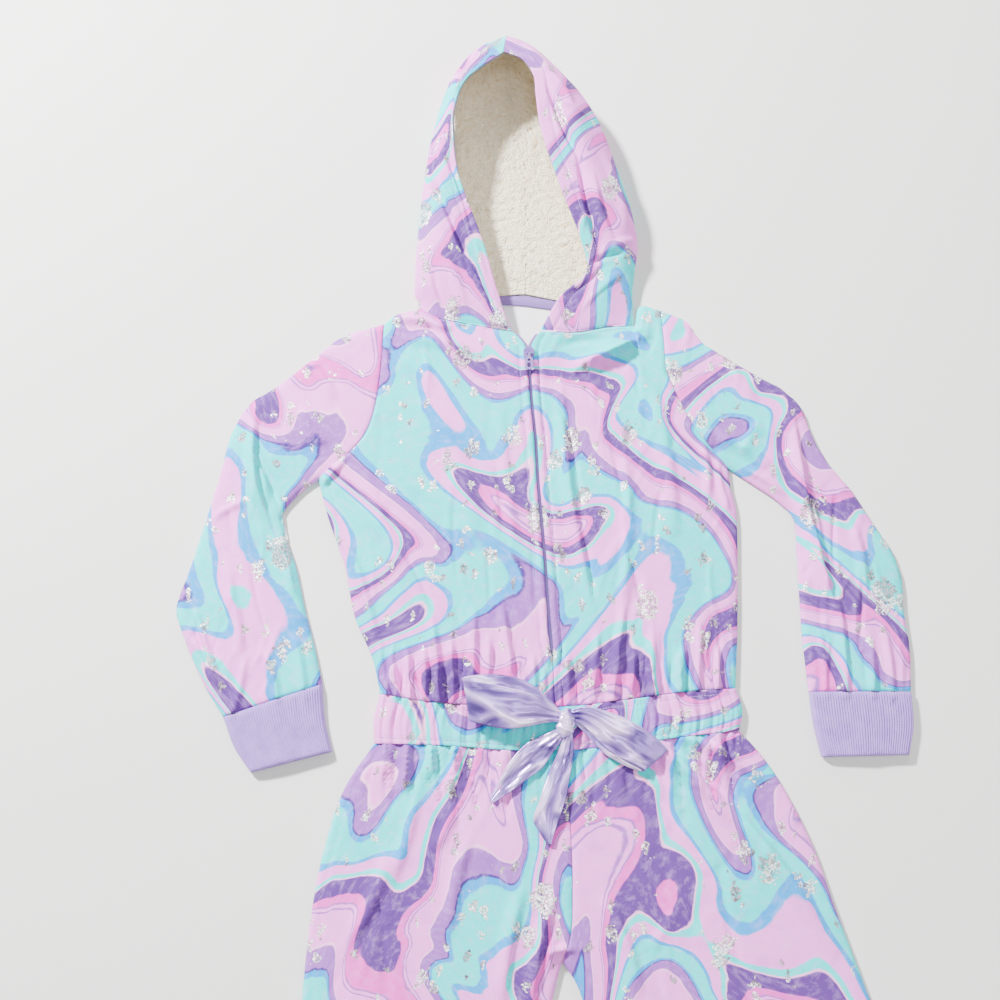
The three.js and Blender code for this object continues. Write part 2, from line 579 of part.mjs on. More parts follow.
function bodiceFront(side) {
  const Side = side === "right" ? "Right" : "Left";
  const outer = joined(LINE["armhole" + Side], LINE["side" + Side], ARMHOLE_END);
  const top = joined(LINE["shoulder" + Side], LINE["neck" + Side], SHOULDER_END);
  const shape = patch(top, LINE["waistTop" + Side], outer, zipEdge(side));
  const vs = [
    ...ARMHOLE_SHARES.map((share) => share * ARMHOLE_END),
    ...steps(SIDE_STEPS, ARMHOLE_END, 1).slice(1),
  ];
  const rowList = vs.map((v) => ({ v, us: v > WAIST_FROM ? WAIST_COLUMNS : BODICE_COLUMNS }));
  const plan = planRows(shape, rowList, { first: true, last: true, near: ARMHOLE_SHARES.length });
  const outerRows = raised(plan, topHeight);
  const innerRows = underside(outerRows, topHeight, JERSEY, 1.5, {
    near: (r) => (r < ARMHOLE_SHARES.length ? "seam" : "edge"),
    far: () => "seam",
  });
  return { outer: outerRows, inner: innerRows };
}

// The zip tape lies under its front edge and shows in the gap beside it.
function zipTape(front, side) {
  const sign = side === "right" ? 1 : -1;
  const rows = front.inner.filter((row) => row[row.length - 1][1] > ZIP_END);
  const top = rows.map((row) => {
    const edge = row[row.length - 1];
    const under = row.filter((point) => Math.abs(point[0] - edge[0]) < ZIP_TAPE_REACH * 1.35);
    const reach = Math.min(zipAt(edge[1], side).half, 3.4) - GAP / 2;
    const shown = [edge[0] + sign * reach, edge[1], edge[2]];
    return [...under, shown].map(([x, y, z]) => [x, y, z - 0.4]);
  });
  const bottom = top.map((row) => row.map(([x, y, z]) => [x, y, z - TAPE]));
  return wall(oneRun(top), oneRun(bottom));
}

function bodiceBack() {
  const right = joined(LINE.armholeRight, LINE.sideRight, ARMHOLE_END);
  const left = joined(LINE.armholeLeft, LINE.sideLeft, ARMHOLE_END);
  const top = (share) => {
    if (share <= 0.15) return LINE.shoulderRight(share / 0.15);
    if (share <= 0.5) return LINE.neckBackRight((share - 0.15) / 0.35);
    if (share <= 0.85) return LINE.neckBackLeft((0.85 - share) / 0.35);
    return LINE.shoulderLeft((1 - share) / 0.15);
  };
  const shape = patch(top, LINE.waistTop, right, left);
  const vs = [...ARMHOLE_SHARES.map((share) => share * ARMHOLE_END), ...steps(5, ARMHOLE_END, 1).slice(1)];
  const topUs = [0, 0.075, ...steps(12, 0.15, 0.85), 0.925, 1];
  const us = steps(8);
  const rowList = vs.map((v, i) => ({ v, us: i === 0 ? topUs : us }));
  const count = ARMHOLE_SHARES.length;
  const plan = planRows(shape, rowList, { first: true, last: true, near: count, far: count });
  return flatWall(plan, 0, JERSEY);
}

const flatWall = (plan, low, high) =>
  wall(oneRun(raised(plan, () => low)), oneRun(raised(plan, () => high)));

// A sleeve is one tube: its top follows the upper layer and its underside lies flat.
function sleeve(side) {
  const outerLine = LINE["sleeveOuter" + side];
  const innerLine = LINE["sleeveInner" + side];
  const shape = patch(
    LINE["armhole" + side], LINE["sleeveEnd" + side], outerLine, innerLine, ARMHOLE_FADE);
  const vs = [0, 0.02, ...steps(15, 0.06, 1)];
  const tops = planRows(shape, vs.map((v) => ({ v, us: ARMHOLE_SHARES })), { first: true, last: true });
  const sparse = [0.02, 0.26, 0.54, 0.8, 0.98];
  const bottomUs = [ARMHOLE_SHARES.slice(1, -1), ...vs.slice(1).map(() => sparse)];
  const bottoms = planRows(
    shape, vs.map((v, i) => ({ v, us: [0, ...bottomUs[i], 1] })), { first: true, last: true });
  return tube(tops, bottoms, topHeight, JERSEY, 1.5);
}

// Upper rows at a height and lower rows on the ground, closed to a tube with a wall of even thickness.
function tube(tops, bottoms, height, thickness, floor) {
  const outerTop = raised(tops, height);
  const innerTop = underside(outerTop, height, thickness, floor, { near: () => "edge", far: () => "edge" });
  const under = (row, z, tuck) => {
    const moved = row.map(([x, y]) => [x, y, z]);
    const end = row.length - 1;
    const inward = (from, to) => {
      const way = unit([to[0] - from[0], to[1] - from[1], 0]);
      return [from[0] + way[0] * tuck, from[1] + way[1] * tuck, z];
    };
    moved[0] = inward(row[0], row[end]);
    moved[end] = inward(row[end], row[0]);
    return moved.reverse();
  };
  const ring = (top, bottom) => [top, [top[top.length - 1], ...bottom, top[0]]];
  const outer = outerTop.map((row, r) => ring(row, under(bottoms[r], 0, 0)));
  const inner = innerTop.map((row, r) => ring(row, under(bottoms[r], thickness, thickness + 0.6)));
  return wall(outer, inner, true);
}

// A ribbed cuff, its ribs raised on the upper side over a plain inside.
function cuff(side) {
  const shape = patch(
    LINE["sleeveEnd" + side], LINE["cuffEnd" + side], LINE["cuffOuter" + side], LINE["cuffInner" + side]);
  const plain = [0, 0.02, 0.06, 0.14, ...steps(6, 0.25, 0.75), 0.86, 0.94, 0.98, 1];
  const ribbed = steps(RIBS.count * 2, 0, 1);
  const vs = [0, 0.5, 1];
  const cuffHeight = (x, y) => CUFF_EDGE + (topHeight(x, y) - EDGE.height) * CUFF_LOFT;
  const seams = { first: true };
  const ribTops = planRows(shape, vs.map((v) => ({ v, us: ribbed })), seams);
  const plainTops = planRows(shape, vs.map((v) => ({ v, us: plain })), seams);
  const bottoms = planRows(shape, vs.map((v) => ({ v, us: steps(5) })), seams);
  const smooth = tubeRows(plainTops, bottoms, cuffHeight);
  const outer = ribTops.map((row, r) => {
    const top = row.map(([x, y], c) => {
      const fade = ease(Math.min(c, row.length - 1 - c) / 4);
      return [x, y, cuffHeight(x, y) + (c % 2 ? RIBS.height * fade : 0)];
    });
    return [top, [top[top.length - 1], ...smooth.under(r, 0, 0.4), top[0]]];
  });
  const inner = plainTops.map((row, r) => {
    const top = smooth.inner[r];
    return [top, [top[top.length - 1], ...smooth.under(r, RIB, RIB + 0.8), top[0]]];
  });
  return wall(outer, inner, true);
}

function tubeRows(tops, bottoms, height) {
  const outer = raised(tops, height);
  const inner = underside(outer, height, RIB, RIB + 0.3, { near: () => "edge", far: () => "edge" });
  const under = (r, z, tuck) => {
    const row = bottoms[r];
    const end = row.length - 1;
    const way = unit([row[end][0] - row[0][0], row[end][1] - row[0][1], 0]);
    return row
      .map(([x, y], c) => {
        const shift = c === 0 ? tuck : c === end ? -tuck : 0;
        return [x + way[0] * shift, y + way[1] * shift, z];
      })
      .reverse();
  };
  return { inner, under };
}

// Uneven wave across the waist casing, by its length share.
function ripple(share) {
  const wander = share + 0.006 * Math.sin(share * 41) + 0.004 * Math.sin(share * 97 + 2);
  const wave = Math.sin(2 * Math.PI * RIPPLES.count * wander);
  const strength = 0.75 + 0.35 * Math.sin(share * 23 + 1);
  return RIPPLES.height * wave * strength * ease(share / 0.05) * ease((1 - share) / 0.05);
}

function waistbandFront() {
  const shape = patch(LINE.waistTop, LINE.waistBottom, LINE.casingRight, LINE.casingLeft);
  const fine = steps(RIPPLES.count * 4);
  const coarse = [0, 0.006, 0.018, 0.04, ...steps(12, 0.08, 0.92), 0.96, 0.982, 0.994, 1];
  const vs = [0, 0.12, 0.5, 0.88, 1];
  const seams = { first: true, last: true };
  const endHeight = (x, y) => Math.max(topHeight(x, y) + CASING_LIFT, CASING * 2 + GAP);
  const puff = [0, 1, 1.15, 1, 0];
  const fineRows = planRows(shape, vs.map((v) => ({ v, us: fine })), seams);
  const outer = fineRows.map((row, r) =>
    row.map(([x, y], c) => {
      const wave = ripple(fine[c]) * Math.max(puff[r], 0.6);
      return [x, y, smoothCasing(x, y) + wave + puff[r] * 0.5];
    }));
  const plain = raised(planRows(shape, vs.map((v) => ({ v, us: coarse })), seams), smoothCasing);
  const ends = { near: () => "edge", far: () => "edge" };
  const inner = underside(plain, endHeight, CASING, CASING + GAP, ends).map((row, r) =>
    row.map(([x, y, z], c) => {
      const end = c === 0 || c === row.length - 1;
      return [x, y, end ? z : Math.max(plain[r][c][2] - CASING - 0.4, CASING + GAP)];
    }));
  return wall(oneRun(outer), oneRun(inner));
}

// The casing's height without the creases of its neighbours.
function smoothCasing(x, y) {
  const distance = edgeDistance(x, y);
  const bend = clamp(distance / EDGE.bend, 0, 1);
  const round = EDGE.rise * Math.sqrt(1 - (1 - bend) ** 2);
  return CASING * 2 + GAP + round + 1.6 * ease(distance / EDGE.reach);
}

function waistbandBack() {
  const shape = patch(LINE.waistTop, LINE.waistBottom, LINE.casingRight, LINE.casingLeft);
  const rows = planRows(shape, steps(2).map((v) => ({ v, us: steps(24) })), { first: true, last: true });
  return flatWall(rows, 0, CASING);
}

const LEG_CORNER = 0.3;
const HIP_ROWS = [0, 0.05, 0.1, 0.15, 0.2, 0.25, LEG_CORNER];
const SHIN_ROWS = [0.34, 0.4, 0.48, 0.56, 0.62, 0.67, 0.73, 0.85, 1];
const HIP_COLUMNS = [0, 0.012, 0.036, 0.07, ...steps(23, 0.1, 1)];
const LEG_COLUMNS = [0, 0.012, 0.04, 0.1, ...steps(7, 0.18, 0.86), 0.94, 0.985, 1];

function legPatch(side) {
  const outer = joined(LINE["outerHip" + side], LINE["outerLeg" + side], LEG_CORNER);
  const inner = joined(LINE.rise, LINE["innerLeg" + side], LEG_CORNER);
  return patch(LINE["waistBottom" + side], LINE["hem" + side], outer, inner);
}

// The upper layer sinks a little toward the open hem.
const legHeight = (x, y) => {
  const top = topHeight(x, y);
  const sink = ease(1 - (y + 1090) / 90);
  return top - (top - EDGE.height) * 0.3 * sink;
};

function legFront(side) {
  const rowList = [...HIP_ROWS, ...SHIN_ROWS].map((v) => ({
    v, us: v < LEG_CORNER ? HIP_COLUMNS : LEG_COLUMNS,
  }));
  const rows = planRows(legPatch(side), rowList, { first: true, far: HIP_ROWS.length });
  const outer = raised(rows, legHeight);
  const inner = underside(outer, legHeight, JERSEY, 1.5, {
    near: () => "edge",
    far: (r) => (r < HIP_ROWS.length ? "seam" : "edge"),
  });
  return wall(oneRun(outer), oneRun(inner));
}

function legBack(side) {
  const rowList = [...HIP_ROWS, ...SHIN_ROWS].map((v) => ({ v, us: v === 0 ? steps(14) : steps(3) }));
  return flatWall(planRows(legPatch(side), rowList, { first: true, far: HIP_ROWS.length }), 0, JERSEY);
}

// A smooth blend through rows of numbers, t counted in rows.
function blendRows(rows, t) {
  const at = clamp(Math.floor(t), 0, rows.length - 2);
  const f = t - at;
  const p = [-1, 0, 1, 2].map((offset) => rows[clamp(at + offset, 0, rows.length - 1)]);
  return p[1].map((_, i) => {
    const [a, b, c, d] = p.map((row) => row[i]);
    return b + 0.5 * f * (c - a + f * (2 * a - 5 * b + 4 * c - d + f * (3 * (b - c) + d - a)));
  });
}

// One cross row of a hood half: along the floor from the centre seam, round the outline, up to the rim.
function hoodRow(table, share) {
  const [station] = named(STATION_COLUMNS, [blendRows(table, share * (table.length - 1))]);
  const out = [station.outX, station.outY, station.outZ];
  const seam = [...LINE.hoodSeam(share), 0];
  const rim = [station.rimX, station.rimY, station.rimZ];
  const back = unit([seam[0] - out[0], seam[1] - out[1], 0]);
  const low = [out[0] + back[0] * station.outZ * 0.9, out[1] + back[1] * station.outZ * 0.9, 0];
  const half = [mix(seam[0], low[0], 0.5), mix(seam[1], low[1], 0.5), 0];
  const high = [mix(out[0], rim[0], 0.42), mix(out[1], rim[1], 0.42), mix(out[2], rim[2], 0.86)];
  const keys = [seam, half, low, out, high, rim];
  const floor = steps(HOOD_FLOOR_STEPS, 0, 3).map((t) => blendRows(keys, t));
  const flap = steps(HOOD_FLAP_STEPS, 3, 5).map((t) => blendRows(keys, t));
  return [...floor, ...flap.slice(1)].map(([x, y, z]) => [x, y, Math.max(z, 0)]);
}

function hoodNeckRow(Side) {
  const back = LINE["neckBack" + Side];
  const front = LINE["neck" + Side];
  const floor = steps(HOOD_FLOOR_STEPS, 1, 0).map((share) => [...back(share), 0]);
  const flap = steps(HOOD_FLAP_STEPS).map((share) => {
    const [x, y] = front(share);
    return [x, y, topHeight(x, y)];
  });
  const middle = [27, 260];
  const drawn = [...drawnIn(floor, middle), ...drawnIn(flap, middle).slice(1)];
  return drawn.map(([x, y], i) => {
    const z = i < HOOD_FLOOR_STEPS ? 0 : flap[i - HOOD_FLOOR_STEPS][2];
    return [x, y, z];
  });
}

function gridNormals(grid) {
  return grid.map((row, r) =>
    row.map((_, c) => {
      const up = grid[Math.min(r + 1, grid.length - 1)][c];
      const down = grid[Math.max(r - 1, 0)][c];
      const next = row[Math.min(c + 1, row.length - 1)];
      const last = row[Math.max(c - 1, 0)];
      return unit(cross(add(next, last, -1), add(up, down, -1)));
    }));
}

function hoodGrid(side) {
  const table = side === "right" ? HOOD_RIGHT : HOOD_LEFT;
  const sign = side === "right" ? -1 : 1;
  const Side = side === "right" ? "Right" : "Left";
  const rows = steps(HOOD_ROWS).slice(1).map((share) => hoodRow(table, share));
  const grid = [hoodNeckRow(Side), ...rows];
  const last = grid.length - 1;
  const columns = HOOD_FLOOR_STEPS + HOOD_FLAP_STEPS;
  const flat = grid.map((row, r) =>
    row.map(([x, y, z], c) => {
      const onSeam = c === 0 || r === last;
      let rise = 0;
      for (const [station, across, long, wide, height] of HOOD_CREASES[side]) {
        const along = (r / last - station) / long;
        const over = (c / columns - across) / wide;
        if (z > 3 && r > 0 && r < last) rise += height * Math.exp(-(along * along) - over * over);
      }
      return [onSeam ? x + (sign * GAP) / 2 : x, y, z + rise];
    }));
  return flat;
}

function offsetGrid(grid, normals, depth, low) {
  return grid.map((row, r) =>
    row.map((point, c) => {
      const way = [...normals[r][c]];
      if (r === 0) way[1] = 0;
      if (c === 0 || r === grid.length - 1) way[0] = 0;
      const moved = add(point, unit(way), depth(r));
      return [moved[0], moved[1], Math.max(moved[2], low)];
    }));
}

function hood(side) {
  const grid = hoodGrid(side);
  const outward = gridNormals(grid);
  const facing = side === "right" ? -1 : 1;
  const inward = outward.map((row) =>
    row.map((normal, c) => (c < HOOD_FLOOR_STEPS - 1 ? [0, 0, 1] : normal.map((value) => value * facing))));
  const shell = wall(oneRun(grid), oneRun(offsetGrid(grid, inward, () => JERSEY, JERSEY)));
  const start = 1;
  const columns = grid[0].length;
  const thin = (rows) => rows.slice(start).map((row) => row.slice(0, columns - 1));
  const lined = thin(grid);
  const ways = thin(inward);
  const thick = (r) => mix(1.2, FLEECE, ease(r / 2.5));
  const near = offsetGrid(lined, ways, () => LINING_DEPTH, LINING_DEPTH);
  const far = offsetGrid(lined, ways, (r) => LINING_DEPTH + thick(r), LINING_DEPTH + 1);
  return { shell, lining: wall(oneRun(near), oneRun(far)) };
}

// A strip of ribbon through its sections, five points across.
function ribbon(table) {
  const rows = named(RIBBON_COLUMNS, table).map((section) => {
    const turn = THREE.MathUtils.degToRad(section.turn);
    return [-1, -0.5, 0, 0.5, 1].map((k) => [
      section.x + Math.cos(turn) * section.half * k,
      section.y + Math.sin(turn) * section.half * k,
      section.z + section.tilt * k + section.puff * (1 - k * k),
    ]);
  });
  const normals = gridNormals(rows);
  const inner = rows.map((row, r) => row.map((point, c) => add(point, normals[r][c], RIBBON)));
  return wall(oneRun(rows), oneRun(inner));
}

function knot(grown = 0) {
  const shell = new Shell();
  const rings = 7;
  const around = 14;
  const poles = [-1, 1].map((end) => knotPoint(end * 0.5 * Math.PI, 0, grown));
  const rows = steps(rings - 2, -0.42, 0.42).map((lift) =>
    steps(around).slice(0, around).map((share) => knotPoint(lift * Math.PI, share * 2 * Math.PI, grown)));
  const ids = rows.map((row) => shell.number([[...row, row[0]]], true));
  shell.sheet(ids, false);
  const ends = poles.map((pole) => shell.points.push(pole) - 1);
  for (let i = 0; i < around; i += 1) {
    const first = ids[0][0];
    const last = ids[ids.length - 1][0];
    shell.faces.push([first[i], ends[0], first[i + 1]]);
    shell.faces.push([last[i], last[i + 1], ends[1]]);
  }
  return shell;
}

// A wrapped knot: an egg shape with two shallow wraps pressed round it.
function knotPoint(lift, angle, grown) {
  const wrap = 1 - 0.07 * Math.cos(lift * 6);
  const local = [
    (KNOT.halfX + grown) * Math.cos(lift) * Math.cos(angle) * wrap,
    (KNOT.halfY + grown) * Math.sin(lift),
    (KNOT.halfZ + grown) * Math.cos(lift) * Math.sin(angle) * wrap,
  ];
  const [s, c] = [Math.sin(KNOT.turn), Math.cos(KNOT.turn)];
  return [
    KNOT.x + local[0] * c - local[1] * s,
    KNOT.y + local[0] * s + local[1] * c,
    KNOT.z + local[2],
  ];
}

// A ribbon cut where it goes into the knot.
function knottedRibbon(name, table) {
  const cut = shellSolid(ribbon(table)).subtract(shellSolid(knot(GAP + 0.1)));
  const [body] = cut.decompose().sort((a, b) => b.volume() - a.volume());
  return finished(geometryOf(body), name, COLOURS.satin, 0.4, 0);
}

function shellSolid(shell) {
  const inside = shell.volume() < 0;
  return new wasm.Manifold(new wasm.Mesh({
    numProp: 3,
    vertProperties: new Float32Array(shell.points.flat()),
    triVerts: new Uint32Array(shell.faces.flatMap(([a, b, c]) => (inside ? [a, c, b] : [a, b, c]))),
  }));
}

function finished(geometry, name, color, roughness, metalness) {
  geometry.translate(-ORIGIN.x, -ORIGIN.y, 0);
  const mesh = new THREE.Mesh(geometry, new THREE.MeshStandardMaterial({ color, roughness, metalness }));
  mesh.name = name;
  return mesh;
}

const metalPart = (geometry, name) => finished(geometry, name, COLOURS.zip, 0.4, 0.2);

const SLIDER_BASE = 0.35 + Math.max(
  ...steps(6, -SLIDER.back, SLIDER.front).flatMap((dy) =>
    [-5, 5].map((dx) => topHeight(SLIDER.x + dx, SLIDER.y + dy))));
const HINGE_Z = SLIDER_BASE + SLIDER.height + EAR.centre;

// The slider: a plate shaped like a shield with two ears that hold the pull tab.
function slider() {
  const { front, back, height, halfWidth } = SLIDER;
  const plan = new THREE.Shape();
  plan.moveTo(-halfWidth + 1.4, -back);
  plan.lineTo(halfWidth - 1.4, -back);
  plan.lineTo(halfWidth, -back + 3);
  plan.lineTo(halfWidth, front - 3);
  plan.lineTo(halfWidth - 2.6, front);
  plan.lineTo(-halfWidth + 2.6, front);
  plan.lineTo(-halfWidth, front - 3);
  plan.lineTo(-halfWidth, -back + 3);
  const plate = new THREE.ExtrudeGeometry(plan, {
    depth: height - 1, bevelThickness: 0.5, bevelSize: 0.5, bevelSegments: 1,
  });
  plate.translate(0, 0, 0.5);
  const whole = [ear(-1), ear(1)].reduce((body, part) => body.add(solid(part)), solid(plate));
  const mesh = metalPart(geometryOf(whole), "zip_slider");
  mesh.geometry.translate(SLIDER.x, SLIDER.y, SLIDER_BASE);
  return mesh;
}

// One ear stands along the zip, its rounded top about the hinge.
function ear(side) {
  const outline = new THREE.Shape();
  outline.moveTo(-EAR.radius, 0);
  outline.absarc(0, EAR.centre + 0.4, EAR.radius, Math.PI, 0, true);
  outline.lineTo(EAR.radius, 0);
  const geometry = new THREE.ExtrudeGeometry(outline, {
    depth: EAR.outer - EAR.inner, bevelEnabled: false, curveSegments: 8,
  });
  geometry.rotateX(Math.PI / 2);
  geometry.rotateZ(Math.PI / 2);
  geometry.translate(side > 0 ? EAR.inner : -EAR.outer, 0, SLIDER.height - 0.4);
  return geometry;
}

// The pull tab hangs between the ears and lies toward the waist, with two holes through it.
function pull() {
  const outline = new THREE.Shape();
  const { length, halfWidth, neck } = PULL;
  outline.moveTo(-neck, 0.7);
  outline.lineTo(-neck, -3);
  outline.lineTo(-halfWidth, -5.5);
  outline.lineTo(-halfWidth, -length + 2.5);
  outline.absarc(-halfWidth + 2.5, -length + 2.5, 2.5, Math.PI, 1.5 * Math.PI, false);
  outline.absarc(halfWidth - 2.5, -length + 2.5, 2.5, 1.5 * Math.PI, 2 * Math.PI, false);
  outline.lineTo(halfWidth, -5.5);
  outline.lineTo(neck, -3);
  outline.lineTo(neck, 0.7);
  for (const hole of PULL.holes) {
    const path = new THREE.Path();
    path.absellipse(0, hole.y, hole.halfX, hole.halfY, 0, 2 * Math.PI, true);
    outline.holes.push(path);
  }
  const geometry = new THREE.ExtrudeGeometry(outline, {
    depth: PULL.thickness, bevelEnabled: false, curveSegments: 8,
  });
  geometry.translate(0, 0, -PULL.thickness / 2);
  geometry.rotateX(THREE.MathUtils.degToRad(PULL.slope));
  const mesh = metalPart(geometry, "zip_pull");
  mesh.geometry.translate(SLIDER.x, SLIDER.y, HINGE_Z);
  return mesh;
}

function solid(geometry) {
  const merged = mergeVertices(
    new THREE.BufferGeometry().setAttribute("position", geometry.getAttribute("position")), 1e-3);
  return new wasm.Manifold(new wasm.Mesh({
    numProp: 3,
    vertProperties: merged.attributes.position.array,
    triVerts: new Uint32Array(merged.index.array),
  }));
}

function geometryOf(body) {
  const mesh = body.getMesh();
  return new THREE.BufferGeometry()
    .setAttribute("position", new THREE.BufferAttribute(mesh.vertProperties, 3))
    .setIndex(new THREE.BufferAttribute(mesh.triVerts, 1));
}

const garment = new THREE.Group();
const put = (shell, name, colour = COLOURS.print, roughness = 0.9) =>
  garment.add(shell.mesh(name, colour, roughness));

for (const side of ["left", "right"]) {
  const Side = side === "right" ? "Right" : "Left";
  const front = bodiceFront(side);
  put(wall(oneRun(front.outer), oneRun(front.inner)), "front_bodice_" + side);
  put(zipTape(front, side), "zip_tape_" + side, COLOURS.lavender);
  put(sleeve(Side), "sleeve_" + side);
  put(cuff(Side), "cuff_" + side, COLOURS.lavender);
  put(legFront(Side), "leg_front_" + side);
  put(legBack(Side), "leg_back_" + side);
  const { shell, lining } = hood(side);
  put(shell, "hood_" + side);
  put(lining, "hood_lining_" + side, COLOURS.fleece, 1);
}
put(bodiceBack(), "back_bodice");
put(waistbandFront(), "waistband_front");
put(waistbandBack(), "waistband_back");
for (const [name, table] of Object.entries(BOW)) garment.add(knottedRibbon(name, table));
put(knot(), "bow_knot", COLOURS.satin, 0.4);
garment.add(slider(), pull());

export default garment;
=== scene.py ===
"""The onesie pajama's looks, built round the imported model: metres, +Z up, +Y toward the hood.

Plan tables are in millimetres from the middle of the chest, as in the part's source; put() shifts
them to the part's frame. Every cloth piece is a closed thin wall between two grids of points.
"""

import math

import bmesh
import bpy
import numpy as np
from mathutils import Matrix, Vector


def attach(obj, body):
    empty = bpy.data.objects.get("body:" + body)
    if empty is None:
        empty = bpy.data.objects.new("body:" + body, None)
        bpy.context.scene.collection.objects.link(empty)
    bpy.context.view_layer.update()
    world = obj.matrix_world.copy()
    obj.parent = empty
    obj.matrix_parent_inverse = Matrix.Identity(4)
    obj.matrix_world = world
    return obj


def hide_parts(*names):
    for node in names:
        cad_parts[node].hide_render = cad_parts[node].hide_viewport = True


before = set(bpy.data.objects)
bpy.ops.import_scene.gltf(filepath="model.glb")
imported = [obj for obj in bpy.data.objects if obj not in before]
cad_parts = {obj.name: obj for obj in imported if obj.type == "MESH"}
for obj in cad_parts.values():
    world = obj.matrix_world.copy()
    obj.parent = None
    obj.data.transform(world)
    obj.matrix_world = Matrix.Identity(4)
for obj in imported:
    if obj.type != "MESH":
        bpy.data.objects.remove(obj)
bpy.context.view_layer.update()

# The middle of the part's box in table millimetres, and the shift that puts it at the frame's middle.
ORIGIN = (52.35, -290.0)
PUT_SHIFT = np.array([*ORIGIN, 0.0])

# The gap at a seam and the thickness of each cloth.
GAP = 0.3
JERSEY = 1.2
CASING = 2.2
RIB = 2.2
RIBBON = 1.0
TAPE = 0.8
LINING_DEPTH = JERSEY + 0.5

# The upper layer: its height and bend at a folded edge, its swell, its rise at the neck, the lowest
# height of its inner side, the distance from an edge over which creases fade in, and how far the
# layer below is drawn in under a folded edge.
EDGE = dict(height=2.7, bend=12, rise=4.3, swell=2.6, reach=70)
NECK_RISE = dict(height=3.2, reach=70)
INNER_FLOOR = 1.5
CREASE_FADE = 9
BOTTOM_TUCK = 1.6

# Shares of a border where one seam ends and the next begins.
ARMHOLE_END = 0.46
SHOULDER_END = 0.3
LEG_CORNER = 0.3

# Seams, the welts beside the zip, stitches and the distances of stitched lines from an edge.
SEAM = dict(dip=1.1, half=1.9, pucker=0.45, reach=7)
WELT = dict(width=7.4, height=1.5, roll=1.9, dip=0.8, stitching=8.2)
STITCH = dict(pitch=3.1, length=2.3, radius=0.32)
LEG_HEM = 20.0
HOOD_HEM = 13.0
ZIP_STITCHES = 8.0
NECK_STITCHES = 3.4

# The waist: where the two halves meet at its seams, the casing's ripples and its stitched lines.
CENTRE_FRONT = dict(top=52, bottom=59)
RIPPLES = 27
CASING_STITCHES = (0.115, 0.885)
CUFF_RIBS = 40

# The zip's lower end, its tape and teeth, and the tape over the back neck seam.
ZIP_END = -152
TAPE_REACH = 3.4
TOOTH = dict(pitch=1.35, radius=0.46, out=1.35, over=0.45, rise=0.15)
NECK_TAPE = dict(low=-30, high=88, above=7.0, width=11.5)

# The bow: the middle of what it covers, its knot, and how far from it the ribbon is pinched.
BOW_MIDDLE = (55, -255)
KNOT = dict(x=61, y=-219, z=17.9)
PINCH_REACH = 34.0

# Round a hood half, t is 0 at its lower seam; so many columns lie below its outline.
OUTLINE_T = 3
RIM_T = 5
FLOOR_COLUMNS = 30

# The print's coordinates: an offset that keeps them positive, and a shift for inner sides.
PLAN_OFFSET = 600
INNER_PRINT_SHIFT = 0.37


def with_ends(groups):
    """Crease rows with the ends that fade as their last column."""
    return [[*row, ends] for ends, rows in groups.items() for row in rows]


